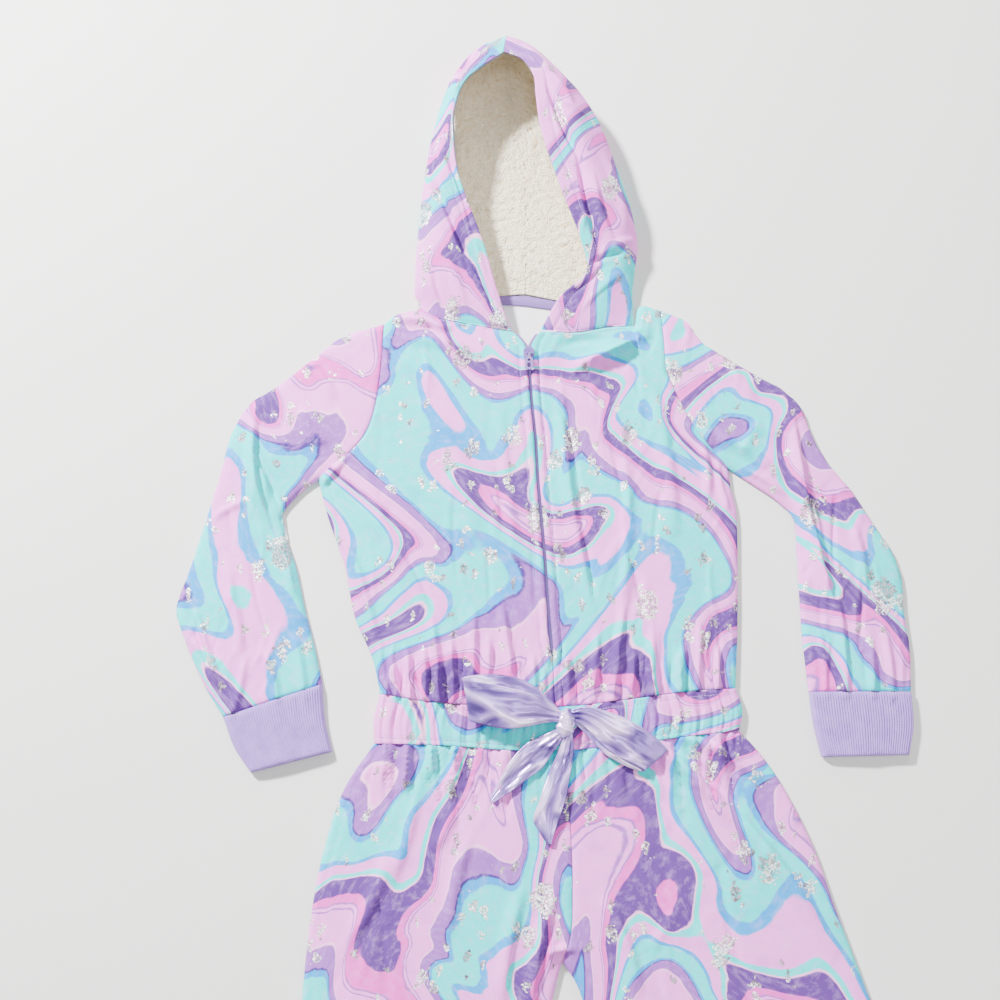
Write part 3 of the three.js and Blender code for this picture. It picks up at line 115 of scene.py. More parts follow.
# Seam lines and outlines of the garment as it lies; sides are the wearer's.
LINES = {
    "neckRight": [[-86, 207], [-63, 195], [-31, 187], [12, 178]],
    "neckLeft": [[141, 187], [115, 185], [78, 178], [42, 179]],
    "hoodSeam": [[27, 215], [27, 285], [27, 330], [26, 370], [24, 400], [20, 425], [12, 445]],
    "neckBackRight": [[-86, 207], [-42, 214], [13, 216], [27, 215]],
    "neckBackLeft": [[141, 187], [105, 204], [59, 210], [27, 215]],
    "shoulderRight": [[-121, 190], [-110, 200], [-86, 207]],
    "shoulderLeft": [[168, 206], [147, 210], [141, 187]],
    "armholeRight": [[-121, 190], [-123, 131], [-127, 97], [-135, 69], [-149, 50], [-166, 37], [-182, 20]],
    "armholeLeft": [[168, 206], [170, 166], [171, 135], [182, 106], [194, 79], [207, 60], [230, 31]],
    "sideRight": [
        [-182, 20], [-179, 9], [-170, -21], [-152, -69], [-141, -116], [-121, -161], [-114, -191],
    ],
    "sideLeft": [[230, 31], [231, 12], [235, -12], [233, -69], [229, -132], [225, -174], [224, -186]],
    "waistTop": [[-114, -191], [-66, -199], [-21, -202], [62, -203], [125, -196], [180, -189], [224, -186]],
    "waistBottom": [
        [-118, -237], [-48, -239], [9, -243], [65, -243], [124, -237], [178, -230], [225, -225],
    ],
    "casingRight": [[-114, -191], [-119, -214], [-118, -237]],
    "casingLeft": [[224, -186], [229, -206], [225, -225]],
    "rise": [[59, -243], [63, -290], [65, -331], [65, -372], [63, -402], [55, -425]],
    "outerHipRight": [[-118, -237], [-144, -277], [-160, -328], [-168, -372], [-173, -425]],
    "outerLegRight": [[-173, -425], [-176, -480], [-186, -600], [-196, -740], [-199, -900], [-199, -1085]],
    "innerLegRight": [
        [55, -425], [49, -445], [42, -475], [22, -570], [-5, -740], [-26, -900], [-49, -1085],
    ],
    "outerHipLeft": [[225, -225], [244, -247], [263, -277], [286, -328], [301, -378], [316, -425]],
    "outerLegLeft": [[316, -425], [331, -475], [350, -590], [369, -715], [393, -880], [417, -1056]],
    "innerLegLeft": [
        [55, -425], [67, -442], [80, -480], [105, -570], [181, -765], [226, -930], [272, -1094],
    ],
    "hemRight": [[-199, -1085], [-49, -1085]],
    "hemLeft": [[417, -1056], [272, -1094]],
    "sleeveOuterRight": [
        [-121, 190], [-165, 174], [-197, 148], [-229, 120], [-256, 100], [-272, 69], [-282, 21],
        [-293, -27], [-303, -69], [-313, -110], [-303, -140], [-281, -183], [-261, -213],
    ],
    "sleeveInnerRight": [
        [-182, 20], [-199, 7], [-217, -18], [-213, -34], [-200, -69], [-190, -107], [-178, -147],
        [-169, -182],
    ],
    "sleeveEndRight": [[-261, -213], [-169, -182]],
    "sleeveOuterLeft": [
        [168, 206], [194, 192], [210, 169], [235, 152], [260, 135], [289, 117], [307, 97], [317, 65],
        [330, 38], [351, 9], [369, -24], [385, -53], [392, -82], [391, -116], [393, -147], [390, -189],
    ],
    "sleeveInnerLeft": [
        [230, 31], [253, 15], [276, -2], [291, -20], [292, -53], [291, -101], [291, -147], [293, -189],
    ],
    "sleeveEndLeft": [[390, -189], [293, -189]],
    "cuffOuterRight": [[-261, -213], [-249, -240], [-232, -263]],
    "cuffInnerRight": [[-169, -182], [-165, -215], [-157, -244]],
    "cuffEndRight": [[-232, -263], [-157, -244]],
    "cuffOuterLeft": [[390, -189], [389, -220], [382, -247]],
    "cuffInnerLeft": [[293, -189], [295, -220], [300, -249]],
    "cuffEndLeft": [[382, -247], [300, -249]],
}

# The lines along which the upper layer folds over to the lower one.
FOLDED_EDGES = """
    shoulderRight shoulderLeft sideRight sideLeft casingRight casingLeft outerHipRight
    outerLegRight innerLegRight outerHipLeft outerLegLeft innerLegLeft sleeveOuterRight
    sleeveInnerRight sleeveOuterLeft sleeveInnerLeft cuffOuterRight cuffInnerRight cuffOuterLeft
    cuffInnerLeft
""".split()

# The zip: y, x of its middle, and how far each front edge lies from it.
ZIP = [
    [178, 27, 15], [171, 28, 9], [163, 29, 3.6], [155, 29.5, 1.7], [139, 30, 1.6], [104, 32, 1.6],
    [60, 36, 1.6], [15, 38, 1.6], [-23, 41, 1.6], [-63, 44, 1.6], [-103, 46, 1.6], [-147, 49, 1.6],
    [-158, 50, 0.15], [-203, 52, 0.15],
]

# Creases of the upper layer: x1, y1, x2, y2, sideways bow, half width, height, lean.
CREASES = with_ends({
    "both": [
        [62, 147, 96, -138, -9, 9, 2.6, 0.35], [123, 75, 113, -141, 6, 8, 2, -0.3],
        [202, 64, 206, -8, 3, 7, 2.2, 0], [216, 52, 230, -26, -3, 5, 1.4, 0],
        [72, 140, 150, 175, -4, 9, 2.8, 0.5], [58, 160, 120, 168, 5, 8, -1.6, 0],
        [-150, 190, -60, 186, 6, 8, 1.8, 0], [-109, 172, -31, 156, 5, 10, 1.6, 0.3],
        [-88, 120, -20, -60, 14, 16, 1.6, 0], [-140, 40, -60, -110, -10, 14, 1.9, 0.2],
        [0, 110, 22, -70, -4, 9, 1.2, 0.2], [150, 140, 170, -60, 8, 13, 1.9, 0.2],
        [-160, -22, -112, -165, 4, 7, 1.5, 0], [-149, 50, -219, -10, 8, 8, 2.2, 0.3],
        [-247, 103, -223, -38, -10, 9, 4, 0.55], [-255, 60, -230, -10, 6, 7, 2, 0],
        [-296, -98, -256, -195, -3, 6, 2, 0.4], [-263, -88, -246, -165, 4, 7, 2, 0],
        [-286, -23, -246, -2, 3, 6, 1.5, 0], [-210, 152, -165, 98, 6, 10, 1.8, 0.2],
        [-206, -48, -195, -105, -3, 6, 1.8, 0.2], [-270, -60, -262, -120, 5, 8, 1.5, 0],
        [195, 74, 290, 14, 9, 10, 2.4, 0.4], [297, 109, 330, -141, -9, 10, 4.2, 0.55],
        [304, 19, 313, -66, 3, 6, 2, 0], [240, 32, 286, 0, 3, 6, 1.7, 0],
        [345, -20, 350, -104, 5, 8, 2.2, 0], [225, 140, 262, 96, 6, 11, 1.8, 0],
        [90, -362, 124, -460, 6, 10, 2.6, 0.3], [-95, -318, -140, -420, 5, 10, 2.2, 0.2],
        [-40, -284, -64, -336, 3, 8, 1.8, 0], [-26, -310, -45, -412, -4, 9, 2.2, 0.2],
        [24, -352, 2, -470, -5, 10, 2.6, 0.3], [53, -356, 26, -475, -4, 8, 3, 0.5],
        [-74, -259, -108, -378, 6, 9, 2, 0], [38, -418, 70, -414, 2, 6, 2.2, 0],
        [43, -436, 52, -398, 3, 5, 1.8, 0], [120, -470, 190, -640, 12, 16, 2.8, 0.2],
        [230, -520, 262, -700, -12, 16, 2.4, -0.2], [195, -735, 300, -770, 10, 12, 2.6, 0.3],
        [240, -800, 330, -850, -8, 12, 2.2, 0.3], [300, -900, 335, -1050, 8, 14, 2.2, 0],
        [-70, -470, -110, -650, -12, 16, 2.6, 0.2], [0, -520, -40, -690, 10, 13, 2.4, -0.2],
        [-170, -745, -60, -770, -10, 12, 2.6, 0.3], [-160, -830, -80, -870, 8, 12, 2, 0.3],
        [-120, -900, -125, -1060, 8, 14, 2.2, 0],
    ],
    "start": [
        [-227, -145, -210, -192, 2, 6, 2, 0], [-242, -150, -250, -206, 2, 6, 1.8, 0],
        [-200, -130, -185, -188, 2, 6, 1.6, 0], [325, -90, 326, -189, 2, 7, 2.4, 0.3],
        [352, -130, 351, -189, 2, 6, 2, 0], [366, -120, 370, -189, 2, 6, 1.7, 0],
        [306, -125, 307, -189, 1, 5, 1.6, 0],
    ],
    "end": [
        [92, -243, 133, -325, 4, 8, 2.4, 0.2], [101, -241, 169, -322, 5, 7, -1.8, 0],
        [144, -236, 306, -432, 16, 12, 3.2, 0.4], [177, -232, 252, -278, 5, 8, 2.4, 0.2],
        [160, -236, 236, -334, 6, 8, -1.8, 0],
    ],
})

# Gathers at the waist: x1, y1, x2, y2, half width, height.
GATHERS = [
    [-115, -141, -107, -193, 5, 1.8], [-103, -152, -97, -198, 5, 2.2], [-88, -148, -84, -199, 5, 2.4],
    [-73, -138, -69, -200, 6, 2.6], [-66, -112, -56, -201, 6, 3], [-48, -131, -42, -202, 6, 2.6],
    [-25, -102, -25, -203, 6, 2.8], [-12, -131, -9, -203, 6, 2.3], [0, -92, 15, -204, 6, 3],
    [31, -150, 33, -204, 6, 2.3], [64, -150, 66, -204, 6, 2.2], [94, -126, 86, -203, 6, 2.8],
    [120, -100, 106, -200, 6, 2.8], [128, -141, 124, -198, 5, 2.4], [146, -124, 143, -195, 6, 2.8],
    [176, -141, 168, -192, 6, 2.4], [192, -128, 185, -190, 6, 2.6], [210, -141, 204, -189, 5, 2],
    [-107, -270, -106, -236, 5, 2], [-89, -284, -84, -238, 6, 2.6], [-68, -272, -63, -239, 6, 2.2],
    [-47, -292, -42, -240, 6, 2.8], [-25, -276, -21, -241, 6, 2.2], [-4, -292, 4, -242, 6, 2.6],
    [25, -280, 27, -243, 6, 2.2], [44, -272, 45, -243, 5, 2], [77, -292, 70, -243, 6, 2.6],
    [128, -268, 120, -238, 6, 2], [212, -262, 200, -229, 6, 2.2],
]

# Stations of the hood's halves: x, y, z of the outline, then of the face rim.
HOOD = {
    "Right": [
        [-86, 207, 3, 12, 178, 13], [-88, 232, 10.5, -3, 220, 21], [-87, 280, 14, -18, 272, 30],
        [-83, 330, 20, -34, 314, 38], [-75, 385, 25, -45, 346, 44], [-62, 440, 27, -50, 378, 50],
        [-45, 478, 29, -50, 411, 54], [-22, 502, 32, -36, 448, 57], [8, 514, 34, 4, 481, 58],
    ],
    "Left": [
        [141, 187, 3, 42, 179, 13], [137, 215, 9, 62, 214, 17], [141, 245, 11, 90, 242, 22],
        [145, 275, 14, 83, 278, 30], [140, 312, 18, 69, 314, 38], [127, 356, 22, 54, 355, 46],
        [110, 408, 26, 43, 392, 51], [90, 446, 28, 38, 430, 55], [64, 475, 30, 36, 452, 57],
        [36, 502, 32, 24, 472, 58], [8, 514, 34, 4, 481, 58],
    ],
}

# The ribbon's sections: x, y, z, turn in degrees, half width, tilt, puff.
BOW = {
    "bow_loop_right": [
        [57, -213, 15.6, 66, 4, 0, 0.5], [38, -201, 16.4, 74, 10, 0, 1], [20, -194, 17, 80, 15, 0, 1],
        [-4, -192, 17.6, 88, 18, 0, 0.8], [-24, -194, 18.4, 96, 19, 1, 0.6],
        [-32, -197, 21.4, 100, 19, 2, 0.3], [-25, -200, 25, 98, 19, 2, 0.8],
        [-8, -203, 26.4, 92, 19.5, 1, 2], [12, -206, 26.4, 84, 18, 0, 2.2],
        [32, -208, 24.6, 74, 14, 0, 2], [46, -211, 21.6, 68, 8, 0, 1.2], [57, -213, 18.8, 64, 5, 0, 0.5],
    ],
    "bow_loop_left": [
        [64, -212, 14.8, 100, 4, 0, 0.3], [76, -216, 14.8, 84, 8, 0, 0.5],
        [89, -222, 15.4, 60, 12, 0, 0.6], [108, -234, 15.4, 48, 17, 0, 0.8],
        [128, -246, 14.8, 40, 17, 0, 0.6], [140, -252, 16, 38, 15.5, 0, 0.4],
        [142, -251, 18.6, 38, 15, 0, 0.3], [128, -241, 20.4, 42, 17, 0, 0.8],
        [108, -229, 21.4, 50, 17, 1, 1.2], [90, -218, 21.4, 64, 12, 2, 1.2],
        [76, -212, 20.2, 90, 8, 1, 0.8], [65, -212, 18.8, 100, 4, 0, 0.4],
    ],
    "bow_tail_right": [
        [57, -225, 15.8, -48, 3.4, 0, 0.6], [50, -232, 15.4, -48, 7, 0, 0.8],
        [41, -239, 14.8, -46, 10, 0, 1], [30, -249, 14.2, -46, 13, 0, 1],
        [16, -262, 13.6, -46, 11, 0, 0.8], [4, -275, 13.2, -44, 7, 0, 0.5],
        [-8, -288, 12.8, -40, 2.4, 0, 0.2],
    ],
    "bow_tail_left": [
        [63.5, -227, 16.8, 8, 3, 0, 0.6], [62, -237, 16, 8, 6, 0, 1.2], [59, -250, 15, 6, 8.5, 0.8, 2],
        [53, -268, 14.6, 6, 11, 1, 2.4], [48, -286, 14.2, 4, 12, 1, 2], [42, -303, 13.8, 2, 12, 1, 1.4],
        [42, -315, 13.6, -8, 7, 0.5, 0.8], [44, -325, 13.4, -16, 2.4, 0, 0.2],
    ],
}

# The hood's cross creases by station share, across share, reach along, reach across, height.
HOOD_CREASES = {
    "Right": [[0.42, 0.75, 0.2, 0.1, 2.6], [0.25, 0.6, 0.14, 0.1, 2.2], [0.75, 0.7, 0.1, 0.08, 1.8]],
    "Left": [
        [0.6, 0.72, 0.2, 0.1, 3], [0.32, 0.62, 0.12, 0.1, 2.4], [0.85, 0.75, 0.08, 0.08, 1.8],
        [0.12, 0.7, 0.07, 0.1, 1.6],
    ],
}

# Creases of the hood's flaps in plan, in the same columns as CREASES.
HOOD_FOLDS = with_ends({
    "both": [
        [-84, 352, -30, 232, 6, 5.5, -6, -0.3], [-50, 286, 0, 184, 3, 5, -5.5, -0.3],
        [-62, 372, -24, 262, 4, 4.5, -4.5, -0.3], [-66, 368, -10, 242, 7, 7, 3.6, 0.3],
        [-72, 250, -50, 188, -3, 4.5, -3, 0], [-17, 250, 1, 183, 2, 6, 2, 0.2],
        [48, 452, 88, 350, -5, 5, -6, -0.3], [80, 372, 108, 250, -4, 5.5, -6.5, -0.3],
        [96, 350, 122, 262, -4, 8, 3.6, 0.3], [90, 246, 134, 262, 3, 4.5, -4, 0],
        [52, 456, 80, 418, 3, 5, 1.8, 0.2], [59, 426, 96, 407, 2, 5, 1.8, 0.2],
        [105, 258, 149, 280, 3, 7, 2.2, 0.3], [135, 245, 76, 190, -4, 7, 2, 0.3],
        [118, 255, 62, 211, 4, 6, -1.6, 0], [107, 379, 135, 279, 5, 8, 2.4, 0.3],
        [-74, 293, -33, 187, 6, 9, 2.4, 0.3], [-78, 430, -60, 330, -4, 6, 1.8, 0.2],
        [-60, 470, -38, 420, 3, 5, 1.6, 0.2], [90, 320, 78, 262, 3, 5, 1.6, 0.2],
        [-40, 300, -12, 210, 5, 5, 1.6, 0.2],
    ],
})


def put(points):
    """Table millimetres to the part's frame in metres."""
    return (points - PUT_SHIFT) * 0.001


def ease(value):
    t = np.clip(value, 0, 1)
    return t * t * (3 - 2 * t)


def inset(share, reach):
    """0 at both ends of a run from 0 to 1, and 1 past the reach from them."""
    return ease(share / reach) * ease((1 - share) / reach)


def mix(a, b, t):
    return a + (b - a) * t


def edge_drop(share):
    """1 at a border, falling round to 0 at share 1."""
    return 1 - np.sqrt(1 - (1 - np.clip(share, 0, 1)) ** 2)


def hill(distance, width):
    return np.exp(-((distance / width) ** 2))


def unit(vectors):
    return vectors / np.maximum(np.linalg.norm(vectors, axis=-1, keepdims=True), 1e-9)


def run_along(points, axis=0):
    """Length along a line or along one axis of a grid, counted from its start."""
    step = np.linalg.norm(np.diff(points, axis=axis), axis=-1)
    return np.cumsum(np.concatenate([np.zeros_like(step.take([0], axis)), step], axis), axis)


def smooth_line(points):
    """A centripetal curve through plan points, as a function of its length share."""
    p = np.array(points, float)
    p = np.vstack([2 * p[0] - p[1], p, 2 * p[-1] - p[-2]])
    t = np.linspace(0, 1, 48, endpoint=False)[:, None]
    pieces = []
    for i in range(1, len(p) - 2):
        p0, p1, p2, p3 = p[i - 1:i + 3]
        d0, d1, d2 = (max(np.sum((b - a) ** 2) ** 0.25, 1e-4) for a, b in ((p0, p1), (p1, p2), (p2, p3)))
        t1 = ((p1 - p0) / d0 - (p2 - p0) / (d0 + d1) + (p2 - p1) / d1) * d1
        t2 = ((p2 - p1) / d1 - (p3 - p1) / (d1 + d2) + (p3 - p2) / d2) * d1
        pieces.append(p1 + t * t1 + t ** 2 * (-3 * p1 + 3 * p2 - 2 * t1 - t2)
                      + t ** 3 * (2 * p1 - 2 * p2 + t1 + t2))
    pts = np.vstack([*pieces, p[-2][None]])
    share = np.r_[0, np.cumsum(np.hypot(*np.diff(pts, axis=0).T))]
    share /= share[-1]
    return lambda s: np.stack([np.interp(s, share, pts[:, 0]), np.interp(s, share, pts[:, 1])], -1)


LINE = {name: smooth_line(points) for name, points in LINES.items()}


def joined(first, second, corner):
    """One line from two, the second from the corner's share on."""
    def line(s):
        s = np.asarray(s, float)
        return np.where(s[..., None] <= corner, first(s / corner), second((s - corner) / (1 - corner)))
    return line


def stretch(line, start, end):
    return lambda s: line(mix(start, end, np.asarray(s, float)))


def share_at_x(line, x):
    low, high = 0.0, 1.0
    for _ in range(40):
        middle = (low + high) / 2
        if line(middle)[0] < x:
            low = middle
        else:
            high = middle
    return low


for seam_name, seam_x in (("waistTop", CENTRE_FRONT["top"]), ("waistBottom", CENTRE_FRONT["bottom"])):
    seam_share = share_at_x(LINE[seam_name], seam_x)
    LINE[seam_name + "Right"] = stretch(LINE[seam_name], 0, seam_share)
    LINE[seam_name + "Left"] = stretch(LINE[seam_name], 1, seam_share)


def line_segments(line, count=60):
    points = line(np.linspace(0, 1, count + 1))
    return np.hstack([points[:-1], points[1:]])


def segments(names):
    """Short straight pieces of some seam lines, for measuring distances."""
    return np.vstack([line_segments(LINE[name], 24) for name in names])


EDGE_SEGMENTS = segments(FOLDED_EDGES)


def distance_to(rows, x, y):
    """Distance of every plan point to the nearest of some segments."""
    shape = np.shape(x)
    px, py = np.ravel(x), np.ravel(y)
    out = np.empty(px.size)
    ax, ay, bx, by = rows.T
    dx, dy = bx - ax, by - ay
    size = dx * dx + dy * dy
    for k in range(0, px.size, 4000):
        gx = px[k:k + 4000, None] - ax
        gy = py[k:k + 4000, None] - ay
        t = np.clip((gx * dx + gy * dy) / size, 0, 1)
        out[k:k + 4000] = ((gx - dx * t) ** 2 + (gy - dy * t) ** 2).min(1)
    return np.sqrt(out).reshape(shape)


def crease_sum(rows, x, y):
    """Height that the creases add, one row each: x1, y1, x2, y2, bow, half, height, lean, ends."""
    total = np.zeros_like(x)
    for x1, y1, x2, y2, bow, half, height, lean, ends in rows:
        dx, dy = x2 - x1, y2 - y1
        length = math.hypot(dx, dy)
        reach = half * 1.6 + abs(bow) + 9
        near = ((x > min(x1, x2) - reach) & (x < max(x1, x2) + reach)
                & (y > min(y1, y2) - reach) & (y < max(y1, y2) + reach))
        if not near.any():
            continue
        px, py = x[near], y[near]
        along = ((px - x1) * dx + (py - y1) * dy) / (length * length)
        across = ((px - x1) * -dy + (py - y1) * dx) / length - bow * np.sin(np.pi * np.clip(along, 0, 1))
        wide = np.where(across > 0, half * (1 - lean), half * (1 + lean))
        profile = np.where(np.abs(across) < wide, 0.5 + 0.5 * np.cos(np.pi * across / wide), 0)
        fade_in = 1 if ends == "end" else ease(along / 0.35)
        fade_out = 1 if ends == "start" else ease((1 - along) / 0.35)
        past = 1 if ends == "both" else 1 + 8 / length
        before = -8 / length if ends == "end" else 0
        inside = (along > before) & (along < past)
        total[near] += height * profile * fade_in * fade_out * inside
    return total


ALL_CREASES = CREASES + [[a, b, c, d, 0, half, height, 0.15, "start"] for a, b, c, d, half, height in GATHERS]


def scattered(seed, count, box, angle, spread, length, half, height, ends="both"):
    """Small seeded creases in a box, near one direction in degrees."""
    rng = np.random.default_rng(seed)
    rows = []
    for _ in range(count):
        x, y = rng.uniform(box[0], box[2]), rng.uniform(box[1], box[3])
        a = math.radians(angle + rng.uniform(-spread, spread))
        reach = rng.uniform(*length) / 2
        sign = 1 if rng.uniform() < 0.6 else -0.8
        rows.append([x - math.cos(a) * reach, y - math.sin(a) * reach, x + math.cos(a) * reach,
                     y + math.sin(a) * reach, rng.uniform(-0.08, 0.08) * reach * 2, rng.uniform(*half),
                     sign * rng.uniform(*height), rng.uniform(-0.3, 0.5), ends])
    return rows


def gathered(seed, line, count, way, length, height, half=(2.2, 4.2)):
    """Fine gathers that start away from a waist seam and run into it."""
    rng = np.random.default_rng(seed)
    rows = []
    for i in range(count):
        share = (i + rng.uniform(0.15, 0.85)) / count
        x, y = LINE[line](share)
        reach = rng.uniform(*length)
        lean = rng.uniform(-0.22, 0.22) * reach
        sign = 1 if i % 3 else -0.9
        rows.append([x + lean, y + way * reach, x, y, 0, rng.uniform(*half),
                     sign * rng.uniform(*height), rng.uniform(-0.3, 0.3), "start"])
    return rows


# Narrow troughs that show as dark lines beside the wider creases, with the same columns.
TROUGHS = with_ends({
    "both": [
        [58, 108, 84, -49, 5, 3.6, -2.8, 0], [80, -30, 91, -112, 2, 3.2, -2.4, 0],
        [108, 72, 127, -59, 4, 3.8, -2.8, 0], [119, -40, 138, -118, 3, 3.4, -2.6, 0],
        [167, 30, 150, -70, -4, 3.4, -2, 0], [-6, 38, 3, -40, 2, 3.2, -2.2, 0],
        [-108, -38, -60, -120, 4, 3.8, -2.8, 0], [-14, -50, -9, -112, 1, 3, -2.4, 0],
        [-46, 10, -38, -96, -3, 3.4, -1.8, 0], [30, -40, 33, -122, 1, 3, -2, 0],
        [-258, 66, -216, -16, 3, 3.6, -3.4, 0], [-310, -96, -270, -186, 2, 3.6, -3.2, 0],
        [-244, -60, -214, -150, -4, 3.4, -2.2, 0], [338, 20, 326, -90, -4, 3.6, -2.2, 0],
        [352, -60, 340, -160, 3, 3.4, -2.2, 0], [-120, -330, -96, -480, 5, 4.2, -2.4, 0],
        [196, -320, 228, -480, -6, 4.2, -2.4, 0],
    ],
})

# Cloth that laps over itself: x1, y1, x2, y2, reach, height. It stands on the left of the line's way.
LAPS = [
    [68, 128, 144, 168, 13, 7.5],
    [136, 206, 144, 164, 11, 5.5],
    [-100, 194, -48, 178, 8, 4.4],
    [-206, 96, -178, 50, 9, 3.2],
    [262, 86, 238, 44, 9, 3.2],
]

FINE = [
    *TROUGHS,
    *gathered(11, "waistTop", 50, 1, (22, 80), (1.1, 2.3)),
    *gathered(12, "waistBottom", 48, -1, (18, 70), (1.0, 2.1)),
    *gathered(13, "waistTop", 40, 1, (14, 62), (-2.7, -1.4), (1.9, 3.0)),
    *gathered(14, "waistBottom", 42, -1, (16, 88), (-2.7, -1.4), (1.9, 3.2)),
    *scattered(21, 22, (-130, -130, 10, 170), 100, 25, (40, 110), (4, 8), (0.5, 1.1)),
    *scattered(22, 24, (50, -130, 220, 180), 84, 25, (40, 120), (4, 8), (0.5, 1.1)),
    *scattered(23, 30, (-300, -180, -160, 160), 118, 30, (28, 90), (3, 6), (0.5, 1.3)),
    *scattered(24, 34, (200, -170, 390, 160), 66, 30, (28, 90), (3, 6), (0.5, 1.3)),
    *scattered(25, 18, (-160, -560, 40, -290), 100, 40, (40, 120), (4, 9), (0.5, 1.2)),
    *scattered(26, 20, (80, -560, 330, -290), 70, 40, (40, 120), (4, 9), (0.5, 1.2)),
    *scattered(27, 26, (-190, -1060, 0, -560), 95, 45, (50, 150), (6, 12), (0.6, 1.4)),
    *scattered(28, 28, (160, -1060, 400, -560), 72, 45, (50, 150), (6, 12), (0.6, 1.4)),
    *scattered(29, 16, (-300, -205, -170, -120), 70, 14, (22, 50), (2.4, 4), (0.6, 1.3)),
    *scattered(30, 16, (296, -188, 388, -110), 92, 12, (22, 50), (2.4, 4), (0.6, 1.3)),
]


def lap_sum(x, y):
    """Height of the laps: a long slope up to the line, and a steep drop past it."""
    total = np.zeros_like(x)
    for x1, y1, x2, y2, reach, height in LAPS:
        dx, dy = x2 - x1, y2 - y1
        length = math.hypot(dx, dy)
        along = ((x - x1) * dx + (y - y1) * dy) / (length * length)
        across = ((y - y1) * dx - (x - x1) * dy) / length
        slope = np.where(across > 0, hill(across, reach), ease(1 + across / 1.4))
        total += height * slope * ease(along / 0.35) * ease((1 - along) / 0.2)
    return total


def scramble(value, size=43758.5453):
    """A steady number from 0 to 1 that looks random."""
    v = np.sin(value) * size
    return v - np.floor(v)


def noise2(x, y, cell, seed):
    """Smooth seeded noise from -1 to 1 on a lattice of the cell size given."""
    gx, gy = x / cell, y / cell
    ix, iy = np.floor(gx), np.floor(gy)
    fx, fy = ease(gx - ix), ease(gy - iy)

    def value(i, j):
        return scramble(i * 127.1 + j * 311.7 + seed * 74.7)

    low = mix(value(ix, iy), value(ix + 1, iy), fx)
    high = mix(value(ix, iy + 1), value(ix + 1, iy + 1), fx)
    return mix(low, high, fy) * 2 - 1


def cells(x, y, size, seed):
    """Distance to the nearest of one jittered point per cell, in cell sizes."""
    gx, gy = x / size, y / size
    ix, iy = np.floor(gx), np.floor(gy)
    nearest = np.full(np.shape(x), 9.0)
    for i in (-1, 0, 1):
        for j in (-1, 0, 1):
            cx = ix + i + scramble((ix + i) * 127.1 + (iy + j) * 311.7 + seed)
            cy = iy + j + scramble((ix + i) * 269.5 + (iy + j) * 183.3 + seed, 24634.6345)
            nearest = np.minimum(nearest, np.hypot(gx - cx, gy - cy))
    return nearest


def base_height(x, y, d):
    """The part's own height of the upper layer, at edge distance d."""
    around = EDGE["rise"] * (1 - edge_drop(d / EDGE["bend"]))
    swell = EDGE["swell"] * ease(d / EDGE["reach"])
    neck = NECK_RISE["height"] * ease(1 - np.hypot(x - 27, y - 185) / NECK_RISE["reach"])
    return EDGE["height"] + around + swell + (neck + crease_sum(ALL_CREASES, x, y)) * ease(d / CREASE_FADE)


def cloth_height(x, y, seams=None, roll=1.7):
    """The upper layer with its fine creases, rounded over at the folded edge, dipping at its seams."""
    d = distance_to(EDGE_SEGMENTS, x, y)
    fine = 1.15 * crease_sum(FINE, x, y) + 0.22 * noise2(x, y, 23, 3) + 0.12 * noise2(x, y, 9, 5)
    under_bow = ease((95 - np.abs(x - BOW_MIDDLE[0])) / 14) * ease((75 - np.abs(y - BOW_MIDDLE[1])) / 14)
    fine += 1.1 * crease_sum(ALL_CREASES, x, y) * (1 - under_bow) - 0.5 * np.maximum(fine, 0) * under_bow
    z = base_height(x, y, d) + fine * ease(d / CREASE_FADE)
    z -= roll * edge_drop(d / 3.2)
    if seams is not None:
        near = distance_to(seams, x, y)
        z += lap_sum(x, y) * ease(near / CREASE_FADE) * ease(d / CREASE_FADE)
        z -= SEAM["dip"] * hill(near, SEAM["half"]) * ease(d / 5)
        z += SEAM["pucker"] * noise2(x, y, 5.5, 8) * hill(near, SEAM["reach"]) * ease(d / 5)
    return z


def patch(start, end, near, far, u, v, fade=1):
    """A patch between four lines at column shares u and row shares v."""
    u, v = np.asarray(u, float), np.asarray(v, float)
    start_bend = start(u) - mix(start(0.0), start(1.0), u[:, None])
    end_bend = end(u) - mix(end(0.0), end(1.0), u[:, None])
    ruled = near(v)[:, None] * (1 - u)[None, :, None] + far(v)[:, None] * u[None, :, None]
    weight = ((1 - v) ** fade)[:, None, None]
    return ruled + start_bend[None] * weight + end_bend[None] * v[:, None, None]


def spaced(count, tight=0.0, low=0.0, high=1.0):
    """Even shares, drawn toward both ends by a share from 0 to 1."""
    t = np.linspace(0, 1, count)
    return low + (high - low) * mix(t, 0.5 - 0.5 * np.cos(np.pi * t), tight)


def drawn(plan, first=False, last=False, near=None, far=None, by=GAP / 2):
    """Borders on seams moved half the gap inward."""
    plan = plan.copy()

    def inward(border, inner):
        return border + unit(inner - border) * by

    if first:
        plan[0] = inward(plan[0], plan[3])
    if last:
        plan[-1] = inward(plan[-1], plan[-4])
    if near is not None:
        plan[near, 0] = inward(plan[near, 0], plan[near, 3])
    if far is not None:
        plan[far, -1] = inward(plan[far, -1], plan[far, -4])
    return plan


def grid_normals(grid):
    down = np.gradient(grid, axis=0)
    across = np.gradient(grid, axis=1)
    return unit(np.cross(across, down))


def upward(normals):
    return normals * np.where(normals[..., 2:] < 0, -1, 1)


def lift(plan, z):
    return np.concatenate([plan, z[..., None]], -1)


